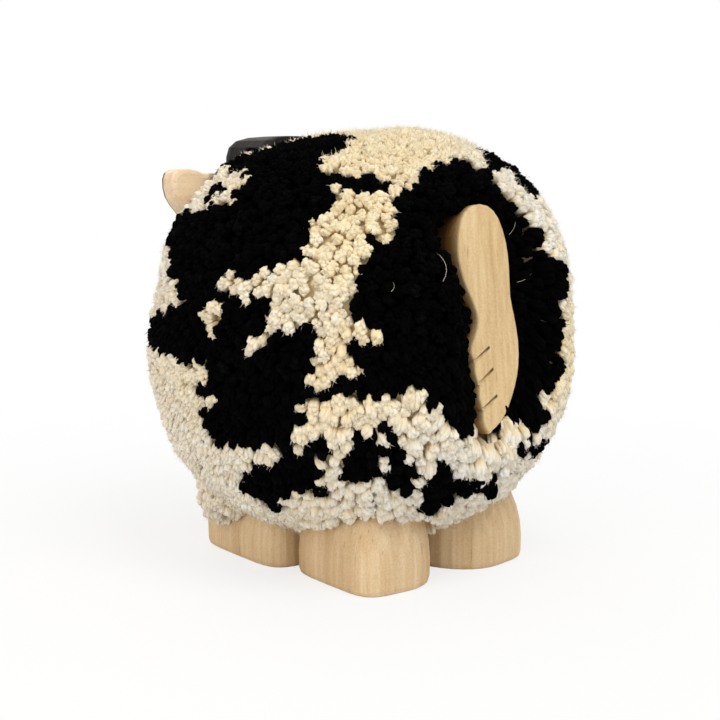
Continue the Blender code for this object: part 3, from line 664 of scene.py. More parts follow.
@dataclass
class Obstacles:
    """The wooden pieces that the wool stands round."""

    centre: Array
    margin: float = 0.0011
    face_gap: float = 0.0009
    above_head: float = 0.02
    foot_rows: Profile = ((0.0304, 0.0274), (-0.0308, 0.0312))
    foot_x: float = 0.0246
    foot_half_width: float = 0.0228
    foot_turn: float = math.radians(5.8)
    foot_straight: float = 0.010
    foot_rounded: float = 0.046
    foot_bulge: float = 1.9
    foot_taper: float = 1.3
    foot_least: float = 0.52
    foot_corner: float = 3.6
    foot_top: float = 0.060
    tail_left: Profile = (
        (-0.0338, 0.0060), (-0.0252, 0.0085), (-0.0151, 0.0098), (-0.0051, 0.0114), (0.0010, 0.0120),
        (0.0052, 0.0094), (0.0092, 0.0076), (0.0136, 0.0078), (0.0196, 0.0104), (0.0268, 0.0138),
        (0.0345, 0.0156), (0.0412, 0.0154), (0.0478, 0.0137), (0.0532, 0.0102), (0.0562, 0.0044),
    )
    tail_right: Profile = (
        (-0.0338, 0.0040), (-0.0310, -0.0012), (-0.0262, -0.0062), (-0.0178, -0.0115), (-0.0095, -0.0147),
        (0.0005, -0.0158), (0.0105, -0.0146), (0.0190, -0.0131), (0.0300, -0.0137), (0.0405, -0.0131),
        (0.0506, -0.0096), (0.0562, -0.0030),
    )
    board_back: float = 0.060

    def hidden(self, places: Array, margin: float | None = None) -> Array:
        """Finds points inside a wooden piece, over the tail board or before the face.

        Args:
            places: one point a row.
            margin: how near a piece counts as inside it, or the usual one.

        Returns:
            True for each that is in the way.
        """
        near_by = self.margin if margin is None else margin
        local = places - self.centre
        found = self._in_feet(local, places[:, 2], near_by) | self._in_tail(local, near_by)
        low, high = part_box("head")
        gap = max(near_by, self.face_gap)
        before = (places[:, 1] < high.y + gap) & (places[:, 2] < high.z + self.above_head)
        beside = (places[:, 0] > low.x - gap) & (places[:, 0] < high.x + gap)
        found |= before & beside & (places[:, 2] > low.z - gap)
        for node in ("ear_left", "ear_right"):
            low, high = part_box(node)
            inside = (places > np.array(low) - near_by) & (places < np.array(high) + near_by)
            found |= inside.all(axis=1)
        return found

    def _in_feet(self, local: Array, heights: Array, margin: float) -> Array:
        """Finds points inside the feet.

        Args:
            local: one point a row, from the ball's centre.
            heights: each one's height over the floor.
            margin: how near a foot counts as inside it.

        Returns:
            True for each that is inside.
        """
        found = np.zeros(len(local), bool)
        t = np.clip((heights - self.foot_straight) / self.foot_rounded, 0.0, 1.0)
        scale = np.maximum((1.0 - t ** self.foot_bulge) ** (1.0 / self.foot_taper), self.foot_least)
        for (centre_y, half_length), side in product(self.foot_rows, (1.0, -1.0)):
            x = side * local[:, 0] - self.foot_x
            y = local[:, 1] - centre_y
            u = x * math.cos(self.foot_turn) - y * math.sin(self.foot_turn)
            v = x * math.sin(self.foot_turn) + y * math.cos(self.foot_turn)
            wide = np.abs(u / (self.foot_half_width * scale + margin))
            long = np.abs(v / (half_length * scale + margin))
            inside = wide ** self.foot_corner + long ** self.foot_corner < 1.0
            found |= inside & (heights < self.foot_top)
        return found

    def _in_tail(self, local: Array, margin: float) -> Array:
        """Finds points inside the tail board, or over its face.

        Args:
            local: one point a row, from the ball's centre.
            margin: how near the board counts as inside it.

        Returns:
            True for each that is in the way.
        """
        height = local @ TAIL_UP + TAIL_DROP
        left = np.interp(height, *zip(*self.tail_left))
        right = np.interp(height, *zip(*self.tail_right))
        across = (local[:, 0] < left + margin) & (local[:, 0] > right - margin)
        along = (height > self.tail_left[0][0] - margin) & (height < self.tail_left[-1][0] + margin)
        return across & along & (local @ TAIL_NORMAL > self.board_back)


# Each area of the wool, by its solid where it is black. Cream areas lie on the black ones, and
# a cream spot has its place and its radius in degrees.
BLACK_AREAS: dict[str, list[Outline]] = {
    "wool_patch_left_shoulder": [[
        (50.5, 61), (52, 57.5), (55, 55.5), (57.5, 54), (60.5, 52.5), (58, 49), (55.5, 47), (54, 45),
        (49, 45), (45, 45.5), (41.5, 46), (38.5, 45), (36.5, 44), (35, 41.5), (36.5, 40), (39.5, 41),
        (44.5, 40.5), (48, 41.5), (51, 43), (54, 42.5), (54, 41), (51, 38), (50.5, 36.5), (54, 36),
        (55.5, 34.5), (59, 34.5), (60, 33), (59, 31), (59, 27.5), (58, 25.5), (58, 23.5), (61.5, 23.5),
        (63, 23), (63.5, 21), (68, 21), (70, 20), (71.5, 18), (75, 17), (77.5, 17.5), (79, 15.5), (90, 14),
        (100.5, 15), (108.5, 15.5), (107, 18.5), (111, 21.5), (117.5, 25), (134, 24), (137, 32), (140, 45),
        (148, 58), (160, 70), (170, 80), (133, 85.5), (85, 83), (62, 76), (54, 68),
    ]],
    "wool_patch_left_flank": [[
        (79, 15.5), (76.5, 13.5), (73, 12.5), (68.5, 13.5), (66.5, 11.5), (66.5, 9.5), (65, 8), (63, 6),
        (60.5, 5.5), (58, 7.5), (56, 6.5), (53.5, 5.5), (54, 3.5), (55.5, 0), (56, -2.5), (57.5, -8),
        (57.5, -10), (60.5, -10.5), (62.5, -12.5), (60.5, -13), (57.5, -13.5), (57, -14.5), (59, -18),
        (60, -19.5), (61.5, -21), (62, -24.5), (66.5, -25.5), (66, -23.5), (68, -23), (71, -24),
        (72.5, -23.5), (79, -24.5), (84.5, -26), (87, -25), (88.5, -23.5), (88.5, -21), (89.5, -17.5),
        (86.5, -15.5), (83.5, -13.5), (85.5, -12), (91.5, -12.5), (93, -11), (91, -9.5), (84.5, -8),
        (84.5, -5), (85.5, -2.5), (91.5, -3.5), (99, -4.5), (103, -3), (112, -3.5), (136, -3), (134, 4),
        (116, 5), (106, 8), (98, 10.5), (99.5, 12), (97, 14), (100.5, 15), (90, 14),
    ]],
    "wool_patch_left_belly": [[
        (66.5, -25.5), (66.5, -28), (69.5, -29.5), (71.5, -29.5), (72.5, -28.5), (75, -29.5), (79, -33),
        (83, -36.5), (83.5, -40.5), (80, -39.5), (79, -43.5), (76.5, -45), (71.5, -41), (67.5, -38.5),
        (62.5, -36), (60.5, -38), (56.5, -39), (54.5, -37.5), (55, -35), (57, -35), (56.5, -32.5), (54, -30),
        (54.5, -26.5), (53.5, -24), (51.5, -22.5), (49.5, -19), (52.5, -19.5), (55.5, -20.5), (58, -22.5),
        (60, -25), (62, -24.5),
    ]],
    "wool_patch_rump": [[
        (33, 38), (31, 39.5), (28.5, 41.5), (26, 43), (23, 45), (20, 48), (15.5, 49), (12, 50.5), (3, 52.5),
        (0.5, 51), (-4, 49.5), (-4, 47.5), (-6.5, 46.5), (-11, 49), (-17, 48.5), (-7, 44), (-9, 42),
        (-12.5, 39.5), (-15, 38), (-15.5, 36.5), (-17.5, 35.5), (-19.5, 32), (-19.5, 30), (-21, 26.5),
        (-21, 22.5), (-22.5, 20.5), (-31, 18), (-30, 14.5), (-23.5, 12), (-22.5, 6), (-22.5, -4),
        (-23, -8.5), (-21, -10.5), (-17.5, -9), (-16, -8.5), (-17, -10), (-17.5, -12.5), (-16, -15),
        (-15, -15), (-14.5, -18), (-16.5, -20.5), (-16, -23.5), (-11, -25), (-8.5, -23.5), (-7.5, -22.5),
        (-5, -22), (-2.5, -23), (0, -25.5), (0, -27), (6, -25.5), (19.5, -20), (21.5, -19), (23, -16),
        (22, -14), (22.5, -12), (24.5, -13), (27, -11), (28.5, -8), (31, -6), (33.5, -7.5), (36.5, -10),
        (40.5, -10), (43.5, -9), (46, -7.5), (47.5, -9), (50, -9), (54, -10.5), (57.5, -10), (57.5, -8),
        (54.5, -9), (52, -7.5), (50, -4.5), (47.5, -2.5), (46.5, -3), (46, -5.5), (45.5, -6.5), (44, -5.5),
        (42.5, -3), (46, 1.5), (47, 3), (45, 3.5), (38.5, 3), (39.5, 5.5), (40, 8), (45.5, 7.5), (46.5, 9),
        (44.5, 11.5), (45, 15.5), (44, 19), (41.5, 22.5), (42, 29), (41, 29), (38.5, 27), (36.5, 27),
        (34.5, 29.5), (33.5, 34),
    ], [
        (-11, 49), (-17, 48.5), (-22.5, 48), (-25, 47), (-23, 42.5), (-26.5, 38.5), (-36, 37), (-50, 40),
        (-60, 48), (-50, 58), (-34, 57), (-18.5, 52.5),
    ]],
    "wool_patch_hind_belly": [[
        (48, -23), (46, -22.5), (44.5, -21.5), (43.5, -19), (41, -20), (38.5, -21), (39, -24.5), (38.5, -28),
        (39.5, -30.5), (42.5, -31.5), (44.5, -33.5), (46.5, -33.5), (48.5, -31.5), (48.5, -28.5),
    ], [
        (38.5, -16), (35.5, -15.5), (35.5, -18), (34.5, -22), (31, -26.5), (29.5, -28.5), (27.5, -32),
        (28.5, -35.5), (32, -36), (35, -34), (37, -31), (37.5, -25.5), (38.5, -20.5),
    ]],
    "wool_patch_under_tail": [[
        (25, -39), (24, -36), (22, -33), (20.5, -32), (21, -28.5), (19, -29.5), (18, -33), (13.5, -35),
        (12, -33.5), (7.5, -34), (2.5, -38), (-0.5, -35.5), (-2.5, -38), (-2, -41), (7.5, -39.5),
        (11, -42.5), (15, -43), (12.5, -47.5), (17, -48), (22, -44.5),
    ], [
        (-5.5, -29), (-7, -27), (-11, -28), (-12, -26.5), (-22, -26), (-32, -28), (-29, -33), (-14, -30),
        (-11, -31),
    ]],
    "wool_patch_right_flank": [[
        (-76, 42), (-64, 30), (-70, 6), (-64, -14), (-80, -27), (-104, -22), (-118, -6), (-112, 20),
        (-96, 38),
    ]],
    "wool_patch_right_shoulder": [[
        (-112, 64), (-106, 46), (-122, 30), (-144, 28), (-152, 46), (-140, 64),
    ]],
    "wool_patch_chest": [[
        (152, -14), (166, -8), (184, -12), (200, -20), (196, -38), (176, -46), (156, -38),
    ]],
    "wool_patch_right_belly": [[
        (-44, -32), (-40, -42), (-54, -50), (-74, -50), (-80, -40), (-62, -34),
    ]],
}
CREAM_AREAS: list[Outline] = [[
    (136, 50), (112, 49), (103, 47), (94, 48), (86, 44), (83.5, 41), (88.5, 39.5), (99.5, 42.5), (108, 43),
    (108, 40), (102, 38), (98, 41), (90, 39.5), (85, 37), (94, 36), (103.5, 35), (110.5, 34), (119, 33),
    (136, 33),
], [
    (117, 54), (132, 56.5), (131, 59), (118, 57),
], [
    (122, 58), (143, 61), (146, 63.5), (124, 60.5),
]]
CREAM_SPOTS: Zones = (
    (79.0, 16.6, 3.0), (85.0, 7.2, 2.8), (82.8, 10.0, 2.4), (84.8, 4.8, 1.8), (65.7, 6.7, 1.5),
    (67.8, 4.7, 1.5), (70.0, 2.4, 1.6), (72.3, 0.6, 2.0), (38.2, -21.5, 1.4), (38.3, -25.0, 1.4),
    (38.3, -28.5, 1.4),
)


@dataclass
class WoolCoat:
    """The pile of cut yarn in two colours, with its backing and loose fibres."""

    cream: WoolFinish
    black: WoolFinish
    seed: int = 20
    cream_node: str = "wool_coat_cream"
    spacing: float = 0.0042
    packing: float = 0.866
    jitter: float = 0.15
    step: float = 0.03
    steep_share: float = 1.5
    shake: float = 0.005
    black_grow: float = 0.007
    shown_back: float = 0.28
    least_height: float = 0.005
    cream_plies: int = 6
    black_plies: int = 5
    ply_radius: float = 0.00122
    ply_widths: tuple[float, float] = (0.74, 1.2)
    ply_ridge: float = 0.16
    ring_ridge: float = 0.05
    frays: tuple[float, float] = (-0.0006, 0.0005)
    inner_spread: float = 0.0009
    outer_spread: float = 0.0006
    inner_share: float = 0.15
    outer_shares: tuple[float, float] = (0.75, 1.15)
    inner_extra: float = 0.03
    outer_extras: tuple[float, float] = (-0.07, 0.02)
    pile: float = 0.0085
    root_lean: float = 0.9
    upright: float = 0.75
    settled: float = 0.0008
    uneven: float = 0.0006
    sides: int = 6
    rings: Profile = ((0.30, 0.98), (0.68, 1.08), (0.88, 0.98), (0.965, 0.60))
    swing: float = 0.32
    fall: Profile = (
        (-85.0, 0.15), (-60.0, 0.45), (-30.0, 0.60), (10.0, 0.36), (40.0, 0.25), (65.0, 0.15), (90.0, 0.05),
    )
    combed_places: Zones = ((20.0, 84.0, 62.0), (108.0, -32.0, 42.0))
    combing: float = 1.4
    tuft_tone: float = 0.17
    area_tone: float = 0.14
    ply_tone: float = 0.10
    # How much cooler and whiter the lower plies are tinted, by degrees up.
    lower_cooling: Profile = ((-30.0, 0.8), (-4.0, 0.0))
    whiter: Zones = (
        (125.0, 20.0, 62.0, 1.0), (64.0, 8.0, 26.0, 0.55), (-30.0, 34.0, 40.0, 1.1),
        (10.0, -28.0, 44.0, 0.5),
    )
    backing_depth: float = 0.0042
    backing_lump: float = 0.0006
    backing_least: float = 0.0607
    backing_look: float = 0.080
    backing_margin: float = -0.0025
    stray_shares: tuple[float, ...] = (1.5, 1.5, 1.5, 1.1, 0.9, 0.9)
    stray_lengths: tuple[float, float] = (0.0008, 0.0028)
    stray_lean: float = 0.55
    stray_curl: float = 0.45
    stray_radius: float = 0.00008
    least_stray_height: float = 0.006
    lint: Zones = (
        (24.3, 20.5, 95.0, 0.0090), (-13.8, 32.7, 60.0, 0.0040), (-15.0, 18.8, 25.0, 0.0045),
        (36.3, 16.3, 80.0, 0.0030),
    )
    lint_from_centre: float = 0.075
    lint_rise: float = 0.0006
    lint_bow: float = 0.22
    lint_radius: float = 0.00007
    felt_grain: float = 70.0
    hair_grain: float = 400.0
    # The tone, the depth in the pile, which sets the painted root shade, and the coolness that the backing
    # and the hairs show.
    # The backing's lower tone and depth are painted shade between the tufts.
    backing_tuft: tuple[float, float, float] = (0.30, 0.60, 0.4)
    hair_tuft: tuple[float, float, float] = (0.9, 1.0, 0.3)

    def build(self) -> list[Piece]:
        """Makes all the wool.

        Returns:
            The pieces.
        """
        low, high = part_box("body_core")
        self.centre = np.array((low + high) / 2.0)
        self.shape = WoolShape()
        self.obstacles = Obstacles(self.centre)
        self.random = np.random.default_rng(self.seed)
        self.materials = {Yarn.CREAM: self.cream.material(), Yarn.BLACK: self.black.material()}
        ways = self._tip_ways()
        combed = self._combed(ways)
        lean = self._lean(ways, combed)
        shown = ways * self.shape.reach(ways)[:, None] - lean * (self.shown_back * self.pile)
        owners = self._owners(unit(shown))
        plies = np.where(owners == self.cream_node, self.cream_plies, self.black_plies)
        parent = np.repeat(np.arange(len(ways)), plies)
        curve = self._ply_curves(ways, lean, combed, plies)
        keep = ~self.obstacles.hidden(curve[:, -1]) & ~self.obstacles.hidden(curve[:, -3], 0.0)
        keep &= curve[:, -1, 2] > self.least_height
        pieces = self._tufts(ways, owners, combed, parent, curve, keep)
        pieces += self._backing()
        pieces += self._strays(curve[keep], ways[parent[keep]], owners[parent[keep]])
        pieces.append(self._lint_piece())
        return pieces

    def _tip_ways(self) -> Array:
        """Scatters directions evenly over the ball, and more of them where it is steep.

        Returns:
            One unit vector a tuft.
        """
        area = 4.0 * math.pi * self.shape.half_width ** 2
        count = int(area / (self.packing * self.spacing ** 2))
        index = np.arange(count)
        z = 1.0 - (2.0 * index + 1.0) / count
        turn = index * math.pi * (3.0 - math.sqrt(5.0))
        flat = np.sqrt(1.0 - z * z)
        ways = np.stack((flat * np.cos(turn), flat * np.sin(turn), z), axis=1)
        more = ways[:, (1, 2, 0)]
        extra = self.steep_share * (np.sqrt(1.0 + self._steepness(more) ** 2) - 1.0)
        ways = np.concatenate((ways, more[self.random.random(count) < extra]))
        ways += self.random.normal(0.0, self.jitter * self.spacing / self.shape.half_width, ways.shape)
        return unit(ways)

    def _steepness(self, ways: Array) -> Array:
        """How steeply the wool's surface slopes away from round.

        Args:
            ways: one unit vector a row.

        Returns:
            The slope in each direction.
        """
        slopes = []
        for aside in sideways(ways):
            ahead, behind = (self.shape.reach(unit(ways + step * aside)) for step in (self.step, -self.step))
            slopes.append((ahead - behind) / (self.step * (ahead + behind)))
        return np.hypot(*slopes)

    def _owners(self, ways: Array) -> Array:
        """Finds the solid that each direction belongs to.

        Args:
            ways: one unit vector a row.

        Returns:
            The name of each one's solid.
        """
        shaken = unit(ways + self.random.normal(0.0, self.shake, ways.shape))
        owners = np.full(len(ways), self.cream_node, dtype=object)
        moves = self.black_grow * np.concatenate((np.zeros((1, 3)), np.eye(3), -np.eye(3)))
        for node, outlines in BLACK_AREAS.items():
            for patch in map(Patch, outlines):
                for move in moves:
                    owners[patch.holds(unit(shaken + move))] = node
        for outline in CREAM_AREAS:
            owners[Patch(outline).holds(shaken)] = self.cream_node
        for turn, rise, radius in CREAM_SPOTS:
            close = ways @ directions([(turn, rise)])[0] > math.cos(math.radians(radius))
            owners[close] = self.cream_node
        return owners

    def _combed(self, ways: Array) -> Array:
        """How smoothly the wool lies, from tufted at zero to combed at one."""
        smooth = [near(ways, (turn, rise), spread) for turn, rise, spread in self.combed_places]
        return np.clip(np.max(smooth, axis=0) * self.combing, 0.0, 1.0)

    def _lean(self, ways: Array, combed: Array) -> Array:
        """Lets each tuft hang down, and swing a little to any side.

        Args:
            ways: each tuft's direction.
            combed: how smoothly each tuft lies.

        Returns:
            How far each tuft leans over, as a sideways vector.
        """
        side = unit(np.cross(ways, self.random.normal(size=ways.shape)))
        swing = np.abs(self.random.normal(0.0, self.swing, len(ways))) * (1.0 - 0.5 * combed)
        straight_down = np.array((0.0, 0.0, -1.0))
        down = straight_down - ways * (ways @ straight_down)[:, None]
        return down * np.interp(rises(ways), *zip(*self.fall))[:, None] + side * swing[:, None]

    def _tufts(self, ways: Array, owners: Array, combed: Array, parent: Array, curve: Array,
               keep: Array) -> list[Piece]:
        """Skins every ply and groups them by the solid they stand for.

        Args:
            ways: each tuft's direction.
            owners: each tuft's solid.
            combed: how smoothly each tuft lies.
            parent: the tuft of each ply.
            curve: points along each ply.
            keep: whether each ply is clear of the wood.

        Returns:
            The pieces.
        """
        tone = 0.5 + self.tuft_tone * self.random.normal(size=len(ways))
        tone += self.area_tone * waves(ways, 24.0, 3.1)
        tone = np.clip(tone[parent] + self.ply_tone * self.random.normal(size=len(parent)), 0.0, 1.0)
        # How much each ply is tinted cooler and whiter: low on the ball and in listed spots.
        cooling = np.interp(rises(ways), *zip(*self.lower_cooling))
        for turn, high, spread, amount in self.whiter:
            cooling += amount * near(ways, (turn, high), spread)
        cooling = np.clip(cooling, 0.0, 1.0)[parent]
        points, tuft, yarn = self._skin(curve, tone, combed[parent], cooling)
        pieces = []
        for name, own, node in self._groups(ways[parent], owners[parent]):
            chosen = np.flatnonzero(keep & own)
            faces, corners = ring_faces(len(chosen), len(self.rings), self.sides)
            attributes = {"tuft": tuft[chosen].reshape(-1, 3), "yarn": yarn[chosen].reshape(-1, 3)}
            made = mesh_object(name, points[chosen].reshape(-1, 3), faces, corners, attributes)
            pieces.append(self._dress(made, node))
        return pieces

    def _ply_curves(self, ways: Array, lean: Array, combed: Array, plies: Array) -> Array:
        """Lays every ply from its root, out and over to its tip.

        Args:
            ways: each tuft's direction.
            lean: how far each tuft leans over.
            combed: how smoothly each tuft lies.
            plies: how many plies each tuft has.

        Returns:
            The points along each ply, the tip last.
        """
        count = len(ways)
        parent = np.repeat(np.arange(count), plies)
        total = len(parent)
        order = np.arange(total) - np.repeat(np.cumsum(plies) - plies, plies)
        rough = self.random.normal(0.0, self.uneven, count) * (1.0 - 0.6 * combed)
        tip = self.centre + ways * (self.shape.reach(ways) - self.settled + rough)[:, None]
        root = tip - (ways + self.root_lean * lean) * self.pile
        middle = root + ways * (self.upright * self.pile)
        axis = unit(tip - root)
        first = unit(np.cross(axis, self.random.normal(size=(count, 3))))
        second = np.cross(axis, first)
        angle = 2.0 * math.pi * (order + self.random.uniform(-0.25, 0.25, total)) / (plies[parent] - 1)
        outward = first[parent] * np.cos(angle)[:, None] + second[parent] * np.sin(angle)[:, None]
        inner = order == 0
        spread = np.where(inner, self.inner_share, self.random.uniform(*self.outer_shares, total))
        spread = spread * (1.0 + 0.35 * combed[parent])
        reach = 1.0 + np.where(inner, self.inner_extra, self.random.uniform(*self.outer_extras, total))
        t = (np.array([place for place, _ in self.rings] + [1.0]) * reach[:, None])[..., None]
        root, middle, tip = (ends[parent, None] for ends in (root, middle, tip))
        path = (1 - t) ** 2 * root + 2 * t * (1 - t) * middle + t * t * tip
        apart = self.inner_spread + self.outer_spread * t ** 1.6
        return path + outward[:, None] * (spread[:, None, None] * apart)

    def _skin(self, curve: Array, tone: Array, combed: Array, cooling: Array) -> tuple[Array, Array, Array]:
        """Wraps each ply in a ridged skin with a frayed end.

        Args:
            curve: points along each ply.
            tone: each ply's tone.
            combed: how smoothly each ply lies.
            cooling: how far each ply is tinted cooler and whiter.

        Returns:
            The vertices, and the two attributes of each.
        """
        places, widths = np.array(self.rings).T
        count, rings = len(curve), len(places)
        angle = np.linspace(0.0, 2.0 * math.pi, self.sides, endpoint=False)
        ahead = unit(np.gradient(curve, axis=1))[:, :rings]
        around = circles(ahead, self.random.normal(size=(count, 1, 3)), angle)
        width = self.ply_radius * self.random.uniform(*self.ply_widths, count) * (1.0 - 0.18 * combed)
        ridges = 1.0 + self.random.normal(0.0, self.ply_ridge, (count, 1, self.sides))
        ridges = ridges + self.random.normal(0.0, self.ring_ridge, (count, rings, self.sides))
        radius = width[:, None, None] * widths[None, :, None] * ridges
        skin = curve[:, :rings, None] + around * radius[..., None]
        fray = self.random.uniform(*self.frays, (count, self.sides))
        skin[:, -1] += ahead[:, -1, None] * fray[..., None]
        points = np.concatenate((skin.reshape(count, rings * self.sides, 3), curve[:, -1:]), axis=1)
        along = np.append(np.repeat(places, self.sides), 1.0)
        # Depth in the pile sets the painted root shade, and combed wool gets less of it.
        depth = along[None, :] + 0.5 * combed[:, None] * (1.0 - along[None, :])
        tuft = np.stack(np.broadcast_arrays(tone[:, None], depth, cooling[:, None]), axis=2)
        circle = np.stack((np.tile(np.cos(angle), rings), np.tile(np.sin(angle), rings)), axis=1)
        circle = np.concatenate((circle, np.zeros((1, 2))))
        offset = self.random.uniform(0.0, 60.0, (count, 1, 3))
        yarn = np.concatenate((circle, along[:, None] * 0.9), axis=1)[None] + offset
        return points, tuft, yarn

    def _groups(self, ways: Array, owners: Array) -> list[tuple[str, Array, str]]:
        """Splits the plies by solid, and the cream coat by its eighths.

        Args:
            ways: each ply's direction.
            owners: each ply's solid.

        Returns:
            A name, whether each ply is in it, and their solid, for each group.
        """
        groups = [(node.replace("wool_patch", "tufts_black"), owners == node, node) for node in BLACK_AREAS]
        for end, hand, level in product(("rear", "front"), ("left", "right"), ("upper", "lower")):
            signs = (hand == "left", end == "rear", level == "upper")
            own = ((ways > 0) == signs).all(axis=1) & (owners == self.cream_node)
            groups.append((f"tufts_cream_{end}_{hand}_{level}", own, self.cream_node))
        return groups

    def _dress(self, piece: Piece, node: str) -> Piece:
        """Gives a wool piece its yarn, and lets it stand for its solid.

        Args:
            piece: the piece.
            node: the solid it stands for.

        Returns:
            The piece.
        """
        yarn = Yarn.CREAM if node == self.cream_node else Yarn.BLACK
        piece.data.materials.append(self.materials[yarn])
        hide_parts(node)
        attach(piece, "root")
        return piece

    def _backing(self) -> list[Piece]:
        """Makes the felted layer that the tufts stand in, in both colours.

        Returns:
            The pieces.
        """
        bpy.ops.mesh.primitive_ico_sphere_add(subdivisions=6, radius=1.0)
        ball = bpy.context.active_object
        ways = unit(np.array([vert.co for vert in ball.data.vertices]))
        triangles = np.array([face.vertices[:] for face in ball.data.polygons])
        bpy.data.objects.remove(ball)
        depth = self.backing_depth + self.backing_lump * waves(ways, 60.0, 2.2)
        radius = np.maximum(self._lowest_reach(ways) - depth, self.backing_least)
        points = self.centre + ways * radius[:, None]
        owners = self._owners(unit(ways[triangles].mean(axis=1)))
        seen = ~self.obstacles.hidden(points[triangles].mean(axis=1), self.backing_margin)
        pieces = []
        for name, node in (("backing_cream", self.cream_node), ("backing_black", "wool_patch_rump")):
            own = (owners == self.cream_node) == (node == self.cream_node)
            used, corners = np.unique(triangles[own & seen].ravel(), return_inverse=True)
            # The backing takes painted shade: a low tone and part of the root shade.
            tuft = np.tile(self.backing_tuft, (len(used), 1))
            attributes = {"tuft": tuft, "yarn": ways[used] * self.felt_grain}
            faces = np.full(len(corners) // 3, 3)
            made = mesh_object(name, points[used], faces, corners.ravel(), attributes)
            pieces.append(self._dress(made, node))
        return pieces

    def _lowest_reach(self, ways: Array) -> Array:
        """Looks for the least radius of the wool close round each direction.

        Args:
            ways: one unit vector a row.

        Returns:
            One radius a direction.
        """
        across, up = sideways(ways)
        found = [self.shape.reach(ways)]
        for turn in np.radians(np.arange(0.0, 360.0, 60.0)):
            aside = across * math.cos(turn) + up * math.sin(turn)
            found.append(self.shape.reach(unit(ways + self.backing_look * aside)))
        return np.min(found, axis=0)

    def _strays(self, curve: Array, ways: Array, owners: Array) -> list[Piece]:
        """Makes loose fibres that stand out of the cut ends.

        Args:
            curve: points along each ply.
            ways: each ply's direction.
            owners: each ply's solid.

        Returns:
            The pieces.
        """
        cream = owners == self.cream_node
        behind, left = ways[:, 1] > 0, ways[:, 0] > 0
        groups = []
        for end, hand in product(("rear", "front"), ("left", "right")):
            own = cream & (behind == (end == "rear")) & (left == (hand == "left"))
            groups.append((f"strays_cream_{end}_{hand}", own, self.cream_node))
        groups.append(("strays_black_rear", ~cream & behind, "wool_patch_rump"))
        groups.append(("strays_black_front", ~cream & ~behind, "wool_patch_left_shoulder"))
        pieces = []
        for (name, own, node), share in zip(groups, self.stray_shares):
            own = np.flatnonzero(own)
            chosen = self.random.choice(own, int(len(own) * share))
            base = curve[chosen, -2]
            ahead = unit(curve[chosen, -1] - curve[chosen, -3])
            away = unit(ahead + self.random.normal(0.0, self.stray_lean, ahead.shape))
            length = self.random.uniform(*self.stray_lengths, len(chosen))[:, None]
            middle = base + away * length * 0.6
            bent = unit(away + self.random.normal(0.0, self.stray_curl, away.shape))
            tip = middle + bent * length * 0.5
            clear = ~self.obstacles.hidden(tip) & (tip[:, 2] > self.least_stray_height)
            hairs = np.stack((base, middle, tip), axis=1)[clear]
            pieces.append(self._dress(self._hairs(name, hairs, self.stray_radius), node))
        return pieces

    def _lint_piece(self) -> Piece:
        """Makes a few pale fibres that lie caught on the black wool.

        Returns:
            The piece.
        """
        hairs = []
        steps = np.linspace(-0.5, 0.5, 7)[:, None]
        for turn, rise, heading, length in self.lint:
            way = directions([(turn, rise)])[0]
            across = unit(np.cross((0.0, 0.0, 1.0), way))
            up = np.cross(way, across)
            run = across * math.cos(math.radians(heading)) + up * math.sin(math.radians(heading))
            bow = np.cross(way, run) * self.lint_bow
            bowed = run * steps + bow * (4.0 * steps * steps - 1.0)
            path = unit(way * self.lint_from_centre + bowed * length)
            hairs.append(self.centre + path * (self.shape.reach(path) + self.lint_rise)[:, None])
        return self._dress(self._hairs("lint_cream", np.array(hairs), self.lint_radius), self.cream_node)

    def _hairs(self, name: str, curve: Array, width: float) -> Piece:
        """Turns curves into thin three-sided hairs.

        Args:
            name: the piece's name.
            curve: points along each hair.
            width: a hair's radius at its base.

        Returns:
            The piece, not yet dressed.
        """
        count, rings = len(curve), curve.shape[1] - 1
        angle = np.linspace(0.0, 2.0 * math.pi, 3, endpoint=False)
        ahead = unit(np.gradient(curve, axis=1))[:, :rings]
        around = circles(ahead, self.random.normal(size=(count, 1, 3)), angle)
        radius = np.linspace(width, width * 0.7, rings)[None, :, None, None]
        skin = (curve[:, :rings, None] + around * radius).reshape(count, rings * 3, 3)
        points = np.concatenate((skin, curve[:, -1:]), axis=1).reshape(-1, 3)
        faces, corners = ring_faces(count, rings, 3)
        attributes = {"tuft": np.tile(self.hair_tuft, (len(points), 1)), "yarn": points * self.hair_grain}
        return mesh_object(name, points, faces, corners, attributes)


@dataclass
class WoodenPieces:
    """The carved and turned wood, which keeps its solids and gets its finishes."""

    feet: WoodFinish
    tail: WoodFinish
    ears: WoodFinish
    muzzle: WoodFinish
    head: WoodFinish
    hidden: WoodFinish
    eyes: ButtonFinish

    def dress(self) -> list[Piece]:
        """Finishes each wooden node and the eyes.

        Returns:
            The nodes.
        """
        corners = [f"{end}_{hand}" for end, hand in product(("hind", "front"), ("left", "right"))]
        inner = ["body_core", "tail_dowel_upper", "tail_dowel_lower", "head_dowel_left", "head_dowel_right"]
        groups = {
            self.feet: ["foot_" + corner for corner in corners],
            self.tail: ["tail_board"],
            self.ears: ["ear_left", "ear_right"],
            self.muzzle: ["muzzle"],
            self.head: ["head"],
            self.eyes: ["eye_left", "eye_right"],
            self.hidden: inner + ["foot_dowel_" + corner for corner in corners],
        }
        dressed = []
        for finish, nodes in groups.items():
            material = finish.material()
            for piece in (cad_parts[node] for node in nodes):
                piece.data.materials.clear()
                piece.data.materials.append(material)
                dressed.append(piece)
        return dressed


